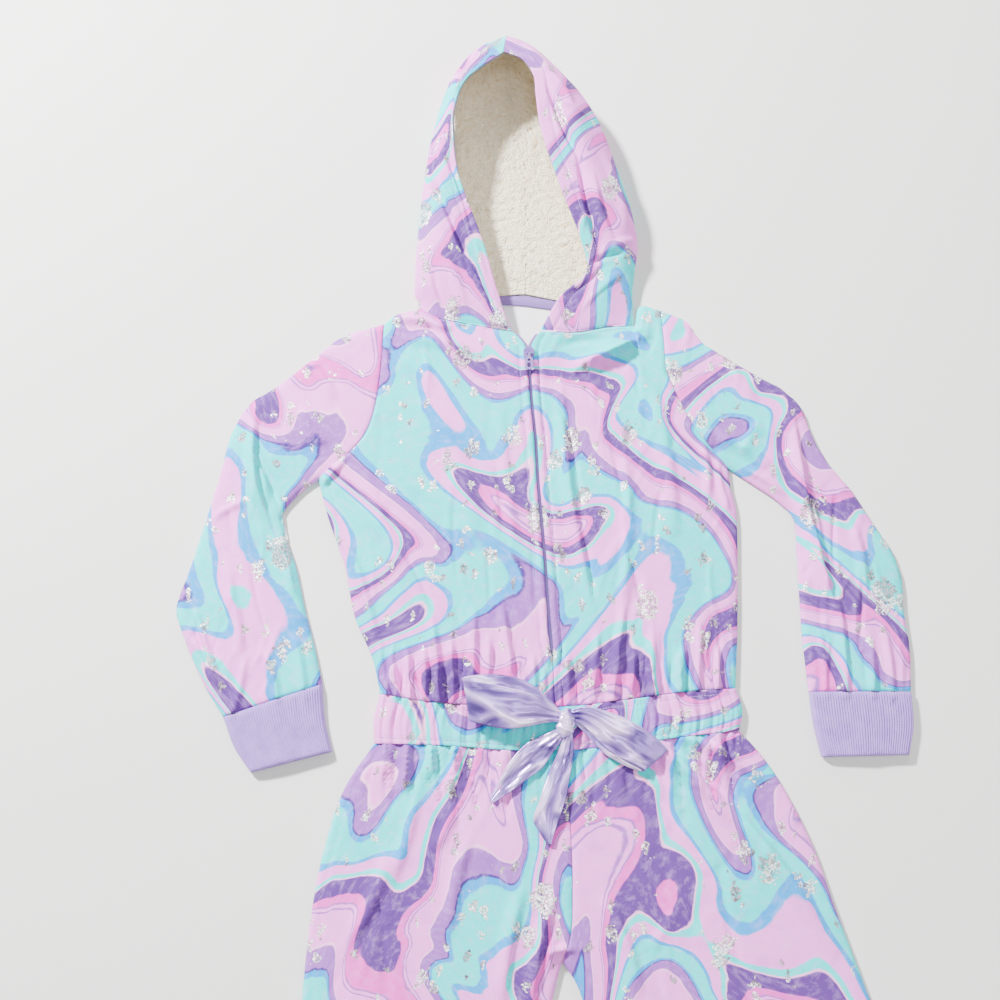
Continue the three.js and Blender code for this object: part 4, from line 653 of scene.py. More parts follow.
def under(grid, thickness, floor):
    """The inner side of an upper layer, never below the layer that it lies on."""
    n = upward(grid_normals(grid))
    inner = grid - n * thickness
    border = np.zeros(grid.shape[:2], bool)
    border[0] = border[-1] = border[:, 0] = border[:, -1] = True
    straight = grid - np.array([0, 0, 1.0]) * thickness
    inner[border] = straight[border]
    inner[..., 2] = np.maximum(inner[..., 2], np.minimum(floor, grid[..., 2] - 0.35))
    return inner


def quads(rows, cols, closed, offset=0):
    r = np.arange(rows - 1)[:, None]
    c = np.arange(cols if closed else cols - 1)[None, :]
    nxt = (c + 1) % cols
    a = r * cols + c
    b = r * cols + nxt
    return np.stack([a, b, b + cols, a + cols], -1).reshape(-1, 4) + offset


def wall(outer, inner, closed=False):
    """Closed wall between two grids of the same shape: points, quads and the sheet of each quad."""
    rows, cols = outer.shape[:2]
    n = rows * cols
    out = quads(rows, cols, closed)
    into = quads(rows, cols, closed, n)[:, ::-1]
    edges = []

    def border(line):
        a, b = line[:-1], line[1:]
        edges.append(np.stack([b, a, a + n, b + n], -1))

    index = np.arange(n).reshape(rows, cols)
    ends = [np.r_[line, line[0]] if closed else line for line in (index[0], index[-1])]
    border(ends[0])
    border(ends[1][::-1])
    if not closed:
        border(index[:, 0][::-1])
        border(index[:, -1])
    points = np.vstack([outer.reshape(-1, 3), inner.reshape(-1, 3)])
    faces = np.vstack([out, into, *edges])
    side = np.r_[np.zeros(len(out)), np.ones(len(into)), np.zeros(sum(len(e) for e in edges))]
    p = points[faces]
    volume = np.einsum("ij,ij->i", p[:, 0], np.cross(p[:, 1], p[:, 2])).sum()
    volume += np.einsum("ij,ij->i", p[:, 0], np.cross(p[:, 2], p[:, 3])).sum()
    return points, faces if volume > 0 else faces[:, ::-1], side.astype(int)


def linked(name, data):
    obj = bpy.data.objects.new(name, data)
    bpy.context.scene.collection.objects.link(obj)
    return obj


def mesh_object(name, points, faces, uvs, materials, side=None):
    """A mesh object from quads, in table millimetres, with one UV pair a point."""
    mesh = bpy.data.meshes.new(name)
    mesh.vertices.add(len(points))
    mesh.vertices.foreach_set("co", put(points).astype(np.float32).ravel())
    size = faces.shape[1]
    mesh.loops.add(faces.size)
    mesh.loops.foreach_set("vertex_index", faces.ravel().astype(np.int32))
    mesh.polygons.add(len(faces))
    mesh.polygons.foreach_set("loop_start", (np.arange(len(faces)) * size).astype(np.int32))
    for material in materials:
        mesh.materials.append(material)
    if side is not None and len(materials) > 1:
        mesh.polygons.foreach_set("material_index", side.astype(np.int32))
    mesh.polygons.foreach_set("use_smooth", np.full(len(faces), True))
    layer = mesh.uv_layers.new(name="cloth")
    layer.data.foreach_set("uv", uvs[faces.ravel()].astype(np.float32).ravel())
    mesh.update(calc_edges=True)
    mesh.validate()
    return linked(name, mesh)


def plan_uv(grid, shift=(0, 0)):
    return (grid[..., :2].reshape(-1, 2) + PLAN_OFFSET) * 0.001 + np.array(shift)


HEMS = {}
HOODS = {}
WAIST = []
WAIST_ROWS = (4, -5)


def cloth_piece(node, outer, inner, materials, slot, held="laid", closed=False, shift=(0, 0), uv=None):
    """The closed wall that stands for a node, in place of the node's own part."""
    points, faces, side = wall(outer, inner, closed)
    uvs = uv if uv is not None else plan_uv(outer, shift)
    uvs = np.vstack([uvs, uvs + INNER_PRINT_SHIFT])
    obj = mesh_object("cloth_" + node, points, faces, uvs, materials, side)
    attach(obj, "garment")
    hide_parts(node)


def bodice_front(side, materials):
    """A front from the armhole and side seam to the zip, with its welt; returns its outer grid."""
    name = side.lower()
    near = joined(LINE["armhole" + side], LINE["side" + side], ARMHOLE_END)
    start = joined(LINE["shoulder" + side], LINE["neck" + side], SHOULDER_END)
    us = np.r_[0, 0.006, 0.013, spaced(92, 0.25, 0.022, 1)]
    vs = np.r_[spaced(66, 0.2, 0, ARMHOLE_END), spaced(98, 0.3, ARMHOLE_END, 1)[1:]]
    plan = patch(start, LINE["waistTop" + side], near, zip_edge(side), us, vs)
    plan = drawn(plan, first=True, last=True, near=vs < ARMHOLE_END)
    seams = np.vstack([segments(["armhole" + side, "waistTop" + side, "neck" + side]), ZIP_SEAMS])
    if side == "Right":
        seams = np.vstack([seams, line_segments(lambda s: LINE["sideRight"](s) + [10.0, 3.0])])
    z = cloth_height(plan[..., 0], plan[..., 1], seams)
    gap = np.abs(plan[:, -1:, 0] - plan[..., 0])
    zipped = ease((vs - 0.045) / 0.02)[:, None] * ease((0.90 - vs) / 0.015)[:, None]
    welt = WELT["height"] * ease((WELT["width"] - gap) / 1.3) - WELT["roll"] * edge_drop(gap / 2.0)
    z += (welt - WELT["dip"] * hill(gap - WELT["stitching"], 1.2)) * zipped
    outer = lift(plan, z)
    inner = under(outer, JERSEY, INNER_FLOOR)
    cloth_piece("front_bodice_" + name, outer, inner, materials, "print_knit")
    return outer


def zip_at(y):
    rows = np.array(ZIP)[::-1]
    return np.interp(y, rows[:, 0], rows[:, 1]), np.interp(y, rows[:, 0], rows[:, 2])


def zip_edge(side):
    def line(share):
        y = mix(ZIP[0][0], ZIP[-1][0], np.asarray(share, float))
        x, half = zip_at(y)
        return np.stack([x - half if side == "Right" else x + half, y], -1)
    return line


# The stitched lines beside the zip pull the cloth down a little.
ZIP_SEAMS = np.vstack([line_segments(lambda s, k=k: zip_edge("Right" if k < 0 else "Left")(s) + [k, 0.0])
                       for k in (-7.5, 7.5)])


def back_piece(materials):
    """The back, flat under both fronts, up to the shoulder and neck seams."""
    near = joined(LINE["armholeRight"], LINE["sideRight"], ARMHOLE_END)
    far = joined(LINE["armholeLeft"], LINE["sideLeft"], ARMHOLE_END)

    def top(s):
        s = np.asarray(s, float)[..., None]
        at = s[..., 0]
        parts = [LINE["shoulderRight"](at / 0.15), LINE["neckBackRight"]((at - 0.15) / 0.35),
                 LINE["neckBackLeft"]((0.85 - at) / 0.35), LINE["shoulderLeft"]((1 - at) / 0.15)]
        return np.where(s <= 0.15, parts[0], np.where(s <= 0.5, parts[1],
                        np.where(s <= 0.85, parts[2], parts[3])))

    us = spaced(60, 0.15)
    vs = np.r_[spaced(36, 0.1, 0, ARMHOLE_END), spaced(36, 0.1, ARMHOLE_END, 1)[1:]]
    plan = patch(top, LINE["waistTop"], near, far, us, vs)
    joins = vs < ARMHOLE_END
    plan = drawn(plan, first=True, last=True, near=joins, far=joins)
    plan = drawn(plan, near=~joins, far=~joins, by=BOTTOM_TUCK)
    x, y = plan[..., 0], plan[..., 1]
    wave = 0.35 + 0.3 * noise2(x, y, 26, 2) + 0.05 * noise2(x, y, 7, 4)
    flat_wall("back_bodice", plan, materials, upper=np.clip(wave, 0, 1) * 0.25, shift=(1.9, 0.6))


def flat_wall(node, plan, materials, thickness=JERSEY, lower=0.0, upper=0.0, **settings):
    """A lower layer that lies flat, its wrong side up, with a slight wave where one is given."""
    shape = plan.shape[:2]
    low = lift(plan, np.broadcast_to(lower, shape) * 1.0)
    high = lift(plan, np.broadcast_to(thickness + upper, shape) * 1.0)
    cloth_piece(node, high, low, materials, "print_knit", **settings)


def ring(top, bottom):
    return np.concatenate([top, bottom[:, ::-1]], 1)


def flat_side(plan, tuck, z, lift_edge):
    """The lower side of a tube: the plan drawn in at both sides, lying flat."""
    way = unit(plan[:, -1] - plan[:, 0])
    pull = np.zeros(plan.shape[1])
    pull[0], pull[-1] = tuck, -tuck
    pull[1], pull[-2] = tuck * 0.35, -tuck * 0.35
    heights = np.full(plan.shape[:2], float(z))
    heights[:, [0, -1]] += lift_edge
    return lift(plan + way[:, None] * pull[None, :, None], heights)


def narrow(inner, plan, by):
    """Moves the inner side of a tube's upper layer clear of the two folded edges."""
    way = unit(plan[:, -1] - plan[:, 0])
    inner[:, 0, :2] += way * by
    inner[:, -1, :2] -= way * by


def sleeve_piece(side, materials):
    """A sleeve as one tube, open at both ends."""
    lines = [LINE[name + side] for name in ("armhole", "sleeveEnd", "sleeveOuter", "sleeveInner")]
    us = np.r_[0, 0.008, 0.018, spaced(64, 0.2, 0.03, 0.97), 0.982, 0.992, 1]
    vs = np.r_[spaced(24, 0.0, 0, 0.12), spaced(122, 0.1, 0.12, 1)[1:]]
    plan = drawn(patch(*lines, us, vs, fade=7), first=True, last=True)
    seams = segments(["armhole" + side, "sleeveEnd" + side])
    top = lift(plan, cloth_height(plan[..., 0], plan[..., 1], seams, roll=1.3))
    low_us = spaced(26, 0.2, 0.004, 0.996)
    low_plan = drawn(patch(*lines, low_us, vs, fade=7), first=True, last=True)
    outer = ring(top, flat_side(low_plan, 0.9, 0, 0.3))
    into = under(top, JERSEY, INNER_FLOOR)
    narrow(into, plan, 1.2)
    inner = ring(into, flat_side(low_plan, 2.2, JERSEY, 0.1))
    cloth_piece("sleeve_" + side.lower(), outer, inner, materials, "print_knit", held="folded", closed=True,
                uv=tube_uv(outer, len(us), side))


def tube_uv(outer, top_columns, side):
    """Plan places for the upper side and shifted ones for the lower, so that no stretch shows."""
    shift = np.array([0.31, 0.83]) if side == "Left" else np.array([1.27, 0.21])
    uv = (outer[..., :2] + PLAN_OFFSET) * 0.001 + shift
    uv[:, top_columns:] += [2.4, 1.1]
    return uv.reshape(-1, 2)


def rib_wave(phase):
    """Rounded ribs with narrow valleys."""
    return np.abs(np.cos(np.pi * phase)) ** 0.7


def hold_between(inner, outer, low, high):
    """Keeps an inner side smooth under ribs or ripples, and clear of the layer below."""
    inner[..., 2] = np.maximum(np.minimum(inner[..., 2], high), np.minimum(low, outer[..., 2] - 0.5))


def cuff_top(plan, us, vs):
    """The ribbed upper side of a cuff, and its height without the ribs."""
    x, y = plan[..., 0], plan[..., 1]
    d = distance_to(EDGE_SEGMENTS, x, y)
    smooth = 4.8 + (base_height(x, y, d) - EDGE["height"]) * 0.75
    wander = us[None, :] * CUFF_RIBS + 0.16 * noise2(us[None, :] * 14, vs[:, None] * 2.2, 1, 6)
    rib = 1.25 * rib_wave(wander) * ease(np.minimum(us, 1 - us) / 0.02)[None, :]
    tuck = 1.6 * edge_drop(vs / 0.09)[:, None]
    hem = 1.3 * edge_drop((1 - vs) / 0.05)[:, None]
    swell = 0.7 * noise2(x, y, 21, 12)
    z = smooth - 0.2 + rib + (swell - tuck - hem) * ease(d / 6)
    return lift(plan, z - 3.2 * edge_drop(d / 4.4)), smooth


def cuff_piece(side, materials):
    """A ribbed cuff as one tube, open at both ends."""
    lines = [LINE[name + side] for name in ("sleeveEnd", "cuffEnd", "cuffOuter", "cuffInner")]
    us = np.linspace(0, 1, CUFF_RIBS * 6 + 1)
    vs = np.r_[0, 0.03, spaced(15, 0.1, 0.08, 0.94), 0.975, 1]
    plan = drawn(patch(*lines, us, vs), first=True)
    top, smooth = cuff_top(plan, us, vs)
    low_us = np.linspace(0.004, 0.996, CUFF_RIBS * 2 + 1)
    low_plan = drawn(patch(*lines, low_us, vs), first=True)
    low = flat_side(low_plan, 0.9, 0, 0.4)
    low[..., 2] += 0.35 * (1 - rib_wave(low_us * CUFF_RIBS))[None, :]
    outer = ring(top, low)
    into = under(top, RIB, RIB + 0.5)
    hold_between(into, top, RIB + 0.4, smooth - RIB + 0.1)
    narrow(into, plan, 1.6)
    inner = ring(into, flat_side(low_plan, 3.0, RIB, -0.6))
    run = np.concatenate([us * 0.09, low_us[::-1] * 0.09 + 0.2])
    uv = np.stack(np.broadcast_arrays(run[None, :], vs[:, None] * 0.06), -1).reshape(-1, 2)
    cloth_piece("cuff_" + side.lower(), outer, inner, materials, "lavender_rib", held="stretched",
                closed=True, uv=uv)


def ripple(share):
    wander = share + 0.006 * np.sin(share * 41) + 0.004 * np.sin(share * 97 + 2)
    wave = 2.8 * np.abs(np.sin(np.pi * RIPPLES * wander + np.pi / 4)) - 1.8
    strength = 0.75 + 0.35 * np.sin(share * 23 + 1)
    return 1.1 * wave * strength * inset(share, 0.05)


def casing_height(plan, us, vs):
    """The casing's height, rippled and pinched at both its stitched edges, and its height without them."""
    d = distance_to(EDGE_SEGMENTS, plan[..., 0], plan[..., 1])
    smooth = 4.7 + EDGE["rise"] * (1 - edge_drop(d / EDGE["bend"])) + 1.6 * ease(d / EDGE["reach"])
    across = us[None, :] + 0.004 * noise2(us[None, :] * 60, vs[:, None] * 2.4, 1, 14)
    small = 0.75 * np.sin(2 * np.pi * 61 * (across + 0.005 * np.sin(us * 53)[None, :]))
    uneven = 0.6 + 0.5 * noise2(us[None, :] * 30, vs[:, None] * 1.6, 1, 9)
    body = np.sin(np.pi * np.clip(vs, 0, 1))[:, None] ** 0.35
    deep = ripple(across)
    deep = np.where(deep < 0, deep * 1.35, deep * 1.2)
    z = smooth + (deep + small * uneven) * np.maximum(body, 0.6) + 1.0 * body - 0.6
    z -= 3.4 * edge_drop(d / 4.4)
    for at in CASING_STITCHES:
        z -= 0.85 * hill(vs - at, 0.022)[:, None]
    return z, smooth


def waistband_pieces(materials):
    """The elastic casing: a front gathered into vertical ripples, and a flat back."""
    us = np.linspace(0, 1, 281)
    vs = np.r_[0, 0.02, 0.05, 0.09, 0.13, spaced(13, 0.0, 0.18, 0.82), 0.87, 0.91, 0.95, 0.98, 1]
    lines = [LINE[name] for name in ("waistTop", "waistBottom", "casingRight", "casingLeft")]
    plan = drawn(patch(*lines, us, vs), first=True, last=True)
    z, smooth = casing_height(plan, us, vs)
    outer = lift(plan, z)
    WAIST[:] = [outer, upward(grid_normals(outer))]
    inner = under(outer, CASING, CASING + 0.4)
    hold_between(inner, outer, CASING + 0.3, smooth - CASING - 0.3)
    cloth_piece("waistband_front", outer, inner, materials, "print_knit", held="gathered", shift=(0.05, 1.13))
    low_us = np.linspace(0, 1, 140)
    low_plan = drawn(patch(*lines, low_us, vs), first=True, last=True)
    low_plan = drawn(low_plan, near=slice(None), far=slice(None), by=1.2)
    waves = 0.25 * (1 + np.sin(2 * np.pi * 34 * low_us + 0.6 * np.sin(29 * low_us))) * 0.8
    flat_wall("waistband_back", low_plan, materials[::-1], CASING, waves, held="gathered", shift=(0.9, 0.4))


def leg_lines(side):
    outer = joined(LINE["outerHip" + side], LINE["outerLeg" + side], LEG_CORNER)
    inner = joined(LINE["rise"], LINE["innerLeg" + side], LEG_CORNER)
    return LINE["waistBottom" + side], LINE["hem" + side], outer, inner


def leg_front(side, lines, materials):
    """A trouser front with its turned hem."""
    us = np.r_[0, 0.006, 0.014, spaced(74, 0.2, 0.024, 0.976), 0.986, 0.994, 1]
    vs = np.r_[spaced(84, 0.25, 0, LEG_CORNER), spaced(112, 0.1, LEG_CORNER, 1)[1:]]
    plan = patch(*lines, us, vs)
    plan = drawn(plan, first=True, far=vs < LEG_CORNER)
    x, y = plan[..., 0], plan[..., 1]
    seams = segments(["waistBottom" + side, "rise"])
    if side == "Right":
        seams = np.vstack([seams, *(line_segments(lambda s, k=k: LINE[k](s) + [9.0, 0.0])
                                    for k in ("outerHipRight", "outerLegRight"))])
    z = cloth_height(x, y, seams)
    z = z - (z - EDGE["height"]) * 0.3 * ease(1 - (y + 1090) / 90)
    hem = np.linalg.norm(plan - plan[-1:], axis=-1)
    z -= 0.8 * hill(hem - LEG_HEM, 1.6) * ease(np.minimum(us, 1 - us) / 0.04)[None, :]
    outer = lift(plan, z)
    HEMS[side] = outer
    inner = under(outer, JERSEY, INNER_FLOOR)
    cloth_piece("leg_front_" + side.lower(), outer, inner, materials, "print_knit",
                shift=(0.0, 0.12) if side == "Left" else (0.62, 0.5))


def leg_back(side, lines, materials):
    """A trouser back, flat under the front."""
    vs = np.r_[spaced(40, 0.1, 0, LEG_CORNER), spaced(60, 0.1, LEG_CORNER, 1)[1:]]
    plan = drawn(patch(*lines, spaced(40, 0.2), vs), first=True, far=vs < LEG_CORNER)
    plan = drawn(plan, near=slice(None), far=vs >= LEG_CORNER, by=BOTTOM_TUCK)
    flat_wall("leg_back_" + side.lower(), plan, materials,
              shift=(1.4, 0.3) if side == "Left" else (2.2, 1.5))


def blend_rows(rows, t):
    """A smooth blend through rows of numbers, t counted in rows; t may be an array."""
    rows = np.asarray(rows, float)
    t = np.asarray(t, float)
    at = np.clip(np.floor(t).astype(int), 0, len(rows) - 2)
    f = (t - at)[..., None]
    a, b, c, d = (rows[np.clip(at + k, 0, len(rows) - 1)] for k in (-1, 0, 1, 2))
    return b + 0.5 * f * (c - a + f * (2 * a - 5 * b + 4 * c - d + f * (3 * (b - c) + d - a)))


def hood_keys(side, shares):
    """Six lines along a hood half: seam, middle of the floor, floor's edge, outline, roof and rim."""
    station = blend_rows(HOOD[side], shares * (len(HOOD[side]) - 1))
    out, rim = station[:, :3], station[:, 3:]
    seam = np.concatenate([LINE["hoodSeam"](shares), np.zeros((len(shares), 1))], 1)
    back = unit((seam - out) * [1, 1, 0])
    low = out + back * (out[:, 2:] * 0.9)
    low[:, 2] = 0
    high = mix(out, rim, np.array([0.42, 0.42, 0.86]))
    return np.stack([seam, mix(seam, low, 0.5), low, out, high, rim])


def hood_neck(side, ts):
    """The hood's lower border: the back neck seam up to its outline, then the front one."""
    floor_t, flap_t = ts[ts <= OUTLINE_T], ts[ts > OUTLINE_T] - OUTLINE_T
    floor = LINE["neckBack" + side](1 - floor_t / OUTLINE_T)
    flap = LINE["neck" + side](flap_t / (RIM_T - OUTLINE_T))
    d = distance_to(EDGE_SEGMENTS, flap[:, 0], flap[:, 1])
    rise = base_height(flap[:, 0], flap[:, 1], d) * ease(flap_t / 0.2)
    return np.vstack([np.c_[floor, np.zeros(len(floor))], np.c_[flap, rise]])


def hood_grid(side, shares, ts):
    """The hood half's outer surface: t is 0 at its lower seam, 3 at its outline and 5 at its rim."""
    keys = hood_keys(side, shares).reshape(6, -1)
    grid = np.swapaxes(np.stack([blend_rows(keys, t).reshape(-1, 3) for t in ts]), 0, 1)
    grid = mix(hood_neck(side, ts)[None], grid, ease(shares / 0.09)[:, None, None])
    grid[..., 2] = np.maximum(grid[..., 2], 0)
    flap = (ts - OUTLINE_T) / (RIM_T - OUTLINE_T)
    across = np.where(ts <= OUTLINE_T, ts / OUTLINE_T * 6 / 14, (6 + flap * 8) / 14)
    for at, over, long, wide, height in HOOD_CREASES[side]:
        bump = height * hill(shares - at, long)[:, None] * hill(across - over, wide)
        grid[..., 2] += bump * inset(shares, 0.05)[:, None] * ease((grid[..., 2] - 2) / 4)
    return grid


def hood_surface(side, shares, ts):
    """The hood half's outer side with its folds, the way inward, and how far a point is on the flap."""
    grid = hood_grid(side, shares, ts)
    floor_way = np.zeros_like(grid)
    floor_way[..., 2] = 1
    normals = grid_normals(grid) * (-1 if side == "Right" else 1)
    inward = unit(mix(floor_way, normals, ease((ts - 2.2) / 0.6)[None, :, None]))
    inward[-1, :, 0] = 0
    inward[:, 0, 0] = 0
    inward = unit(inward)
    x, y = grid[..., 0], grid[..., 1]
    flap = ease((ts - OUTLINE_T - 0.05) / 0.35)[None, :] * ease(shares / 0.03)[:, None]
    flap = flap * ease((1 - shares) / 0.05)[:, None]
    folds = crease_sum(HOOD_FOLDS, x, y) + 0.5 * noise2(x, y, 27, 31) + 0.25 * noise2(x, y, 11, 32)
    rim_gap = np.linalg.norm(grid - grid[:, -1:], axis=-1)
    grid = grid - inward * (folds * ease((rim_gap - 1) / 10) * flap)[..., None]
    grid[..., 2] = np.maximum(grid[..., 2], 0)
    return grid, inward, flap


def hood_piece(side, materials):
    """A hood half with its hem, rolled rim and the dip at the neck seam."""
    shares = spaced(156, 0.15)
    ts = np.r_[spaced(FLOOR_COLUMNS, 0.1, 0, OUTLINE_T), spaced(76, 0.1, OUTLINE_T, RIM_T)[1:]]
    grid, inward, flap = hood_surface(side, shares, ts)
    sign = -1 if side == "Right" else 1
    rim_gap = np.linalg.norm(grid - grid[:, -1:], axis=-1)
    hem = -0.9 * hill(rim_gap - HOOD_HEM, 1.6)
    roll = -1.0 * edge_drop(rim_gap / 2.6)
    neck = -1.0 * hill(np.linalg.norm(grid - grid[:1], axis=-1), 2.0)
    shell = grid - inward * ((hem + roll + neck) * flap)[..., None]
    shell[..., 2] = np.maximum(shell[..., 2], 0)
    shell[:, 0, 0] += sign * GAP / 2
    shell[-1, :, 0] += sign * GAP / 2
    inner = shell + inward * JERSEY
    inner[..., 2] = np.maximum(inner[..., 2], JERSEY)
    HOODS[side] = shell[:, FLOOR_COLUMNS:]
    cloth_piece("hood_" + side.lower(), shell, inner, materials, "print_knit", held="folded",
                uv=hood_uv(shell, side))


def hood_uv(grid, side):
    """Lengths along the cloth, so that the print isn't stretched where the hood stands up."""
    run = run_along(grid, 1)
    run = run - run[:, -1:]
    sign = 1 if side == "Right" else -1
    anchor = grid[:, -1:, 0]
    u = (anchor + sign * run + PLAN_OFFSET) * 0.001
    v = (grid[..., 1] + PLAN_OFFSET) * 0.001
    shift = (0.4, 0.9) if side == "Left" else (0.95, 1.4)
    return np.stack([u + shift[0], v + shift[1]], -1).reshape(-1, 2)


def hood_lining(side, fleece):
    """Curly fleece: rounded tufts raised over a thin backing, lower near the rim and near the neck."""
    shares = np.linspace(0.055, 1, 180)
    ts = np.r_[np.linspace(0, OUTLINE_T, 78), np.linspace(OUTLINE_T, RIM_T - 0.07, 76)[1:]]
    grid, inward, _ = hood_surface(side, shares, np.r_[ts, RIM_T])
    grid, inward = grid[:, :-1], inward[:, :-1]
    sign = -1 if side == "Right" else 1
    u, v = run_along(grid, 1), run_along(grid)
    u = u + 1.6 * noise2(u, v, 5.0, 41)
    v = v + 1.6 * noise2(u, v, 5.0, 42)
    tuft = np.sqrt(np.clip(1 - (cells(u, v, 6.2, 1.7 + sign) / 0.8) ** 2, 0, 1))
    curl = np.sqrt(np.clip(1 - (cells(u, v, 3.2, 5.1 + sign) / 0.8) ** 2, 0, 1))
    pile = 1.7 + 1.9 * tuft + 0.9 * curl + 0.6 * noise2(u, v, 14, 44)
    start = mix(0.55, 1, ease((shares - 0.055) / 0.12))[:, None]
    pile = pile * start * mix(0.75, 1, ease((RIM_T - ts) / 0.2))[None, :]
    near = grid + inward * LINING_DEPTH
    near[..., 2] = np.maximum(near[..., 2], LINING_DEPTH)
    far = grid + inward * (LINING_DEPTH + pile)[..., None]
    far[..., 2] = np.maximum(far[..., 2], LINING_DEPTH + np.minimum(pile, 1.0 + 0.6 * pile))
    near[:, 0, 0] += sign * GAP / 2
    far[:, 0, 0] -= sign * 0.25
    near[-1, :, 0] += sign * GAP / 2
    far[-1, :, 0] -= sign * 0.25
    uv = np.stack([u, v], -1).reshape(-1, 2) * 0.001 + [0.2 if sign < 0 else 1.3, 0]
    cloth_piece("hood_lining_" + side.lower(), far, near, [fleece], "fleece", held="folded", uv=uv)


def ribbon_piece(name, table, satin, pleats):
    """A ribbon through its sections, pleated where the knot pinches it."""
    table = np.array(table, float)
    keys = blend_rows(table, np.linspace(0, len(table) - 1, 24 * (len(table) - 1) + 1))
    run = run_along(keys[:, :3])
    even = np.linspace(0, run[-1], 112)
    sections = np.stack([np.interp(even, run, keys[:, i]) for i in range(keys.shape[1])], 1)
    k = np.linspace(-1, 1, 31)
    turn = np.radians(sections[:, 3])[:, None]
    half, tilt, puff = (sections[:, i][:, None] for i in (4, 5, 6))
    pinch = hill(np.hypot(sections[:, 0] - KNOT["x"], sections[:, 1] - KNOT["y"]), PINCH_REACH)[:, None]
    fold = np.cos(np.pi * (k[None, :] * pleats[0] + pleats[1] + 0.35 * np.sin(even / 17)[:, None]))
    z = (sections[:, 2][:, None] + tilt * k + puff * (1 - k * k) + pleats[2] * fold * (0.25 + pinch)
         * (1 - 0.6 * np.abs(k)) + 0.4 * noise2(k[None, :] * 5, even[:, None] / 9, 1, 61)
         + 1.2 * noise2(k[None, :] * half / 11, even[:, None] / 15, 1, 63) * (1 - pinch))
    x = sections[:, 0][:, None] + np.cos(turn) * half * k
    y = sections[:, 1][:, None] + np.sin(turn) * half * k
    outer = np.stack(np.broadcast_arrays(x, y, z), -1).copy()
    edge = 0.35 * (np.abs(k) > 0.97)
    normals = grid_normals(outer)
    inner = outer + normals * (RIBBON - edge[None, :] * 2)[..., None]
    uv = np.stack(np.broadcast_arrays((k * 0.5)[None, :] * half / 1000 * 2, even[:, None] / 1000), -1)
    cloth_piece(name, outer, inner, [satin], "satin", held="folded", uv=uv.reshape(-1, 2))


def knot_piece(satin):
    """The bow's wrapped knot: an egg shape with pleats running round it."""
    lifts = np.linspace(-0.47, 0.47, 61) * np.pi
    angles = np.linspace(0, 2 * np.pi, 96, endpoint=False)
    lift_, angle = np.meshgrid(lifts, angles, indexing="ij")
    wrap = 1 - 0.07 * np.cos(lift_ * 6)
    pleat = 1 + 0.045 * np.cos(angle * 5 + 1.5 * np.sin(lift_ * 1.5)) * np.cos(lift_)
    pleat += 0.055 * np.sin(lift_ * 13 + 0.8 * np.cos(angle))
    a = 8.6 * np.cos(lift_) * np.cos(angle) * wrap * pleat
    b = 14.0 * np.sin(lift_)
    c = 5.2 * np.cos(lift_) * np.sin(angle) * wrap * pleat
    s, co = math.sin(-0.25), math.cos(-0.25)
    grid = np.stack([KNOT["x"] + a * co - b * s, KNOT["y"] + a * s + b * co, KNOT["z"] + c], -1)
    rows, cols = grid.shape[:2]
    n = rows * cols
    ids = np.arange(cols)
    nxt = (ids + 1) % cols
    points, caps = [grid.reshape(-1, 3)], []
    for row, base in ((0, n), (rows - 1, n + cols)):
        points.append(mix(grid[row], grid[row].mean(0), 0.9))
        caps.append(np.stack([row * cols + ids, row * cols + nxt, base + nxt, base + ids], -1))
    points = np.vstack(points)
    faces = np.vstack([quads(rows, cols, True), caps[0][:, ::-1], caps[1]])
    uv = np.zeros((len(points), 2))
    uv[:n] = np.stack([angle * 0.008, lift_ * 0.014], -1).reshape(-1, 2)
    obj = mesh_object("cloth_bow_knot", points, faces, uv, [satin])
    close_caps(obj)
    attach(obj, "garment")
    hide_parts("bow_knot")


def close_caps(obj):
    """Fills the small holes at a closed form's poles."""
    work = bmesh.new()
    work.from_mesh(obj.data)
    edges = [edge for edge in work.edges if edge.is_boundary]
    bmesh.ops.holes_fill(work, edges=edges, sides=0)
    bmesh.ops.recalc_face_normals(work, faces=work.faces)
    for face in work.faces:
        face.smooth = True
    work.to_mesh(obj.data)
    work.free()


def front_edge_height(front, y):
    border = front[:, -1]
    order = np.argsort(border[:, 1])
    return np.interp(y, border[order, 1], border[order, 2])


def zip_tape(front, side, material):
    """A tape under the front edge that shows in the gap beside the teeth."""
    y = np.linspace(ZIP[0][0] - 3, ZIP_END, 180)
    x, half = zip_at(y)
    sign = 1 if side == "Right" else -1
    edge_x = x - sign * half
    reach = np.minimum(half, TAPE_REACH) - GAP / 2
    k = np.r_[np.linspace(-12, -0.5, 6), np.linspace(0, 1, 5)]
    xs = edge_x[:, None] + sign * np.where(k < 0, k, k * reach[:, None])
    zs = front_edge_height(front, y)[:, None] - np.where(k < 0, 1.9, 1.5)
    grid = np.stack([xs, np.broadcast_to(y[:, None], xs.shape), zs], -1)
    inner = grid - np.array([0, 0, TAPE])
    cloth_piece("zip_tape_" + side.lower(), grid, inner, [material], "zip_tape", shift=(0.1, 0.1))


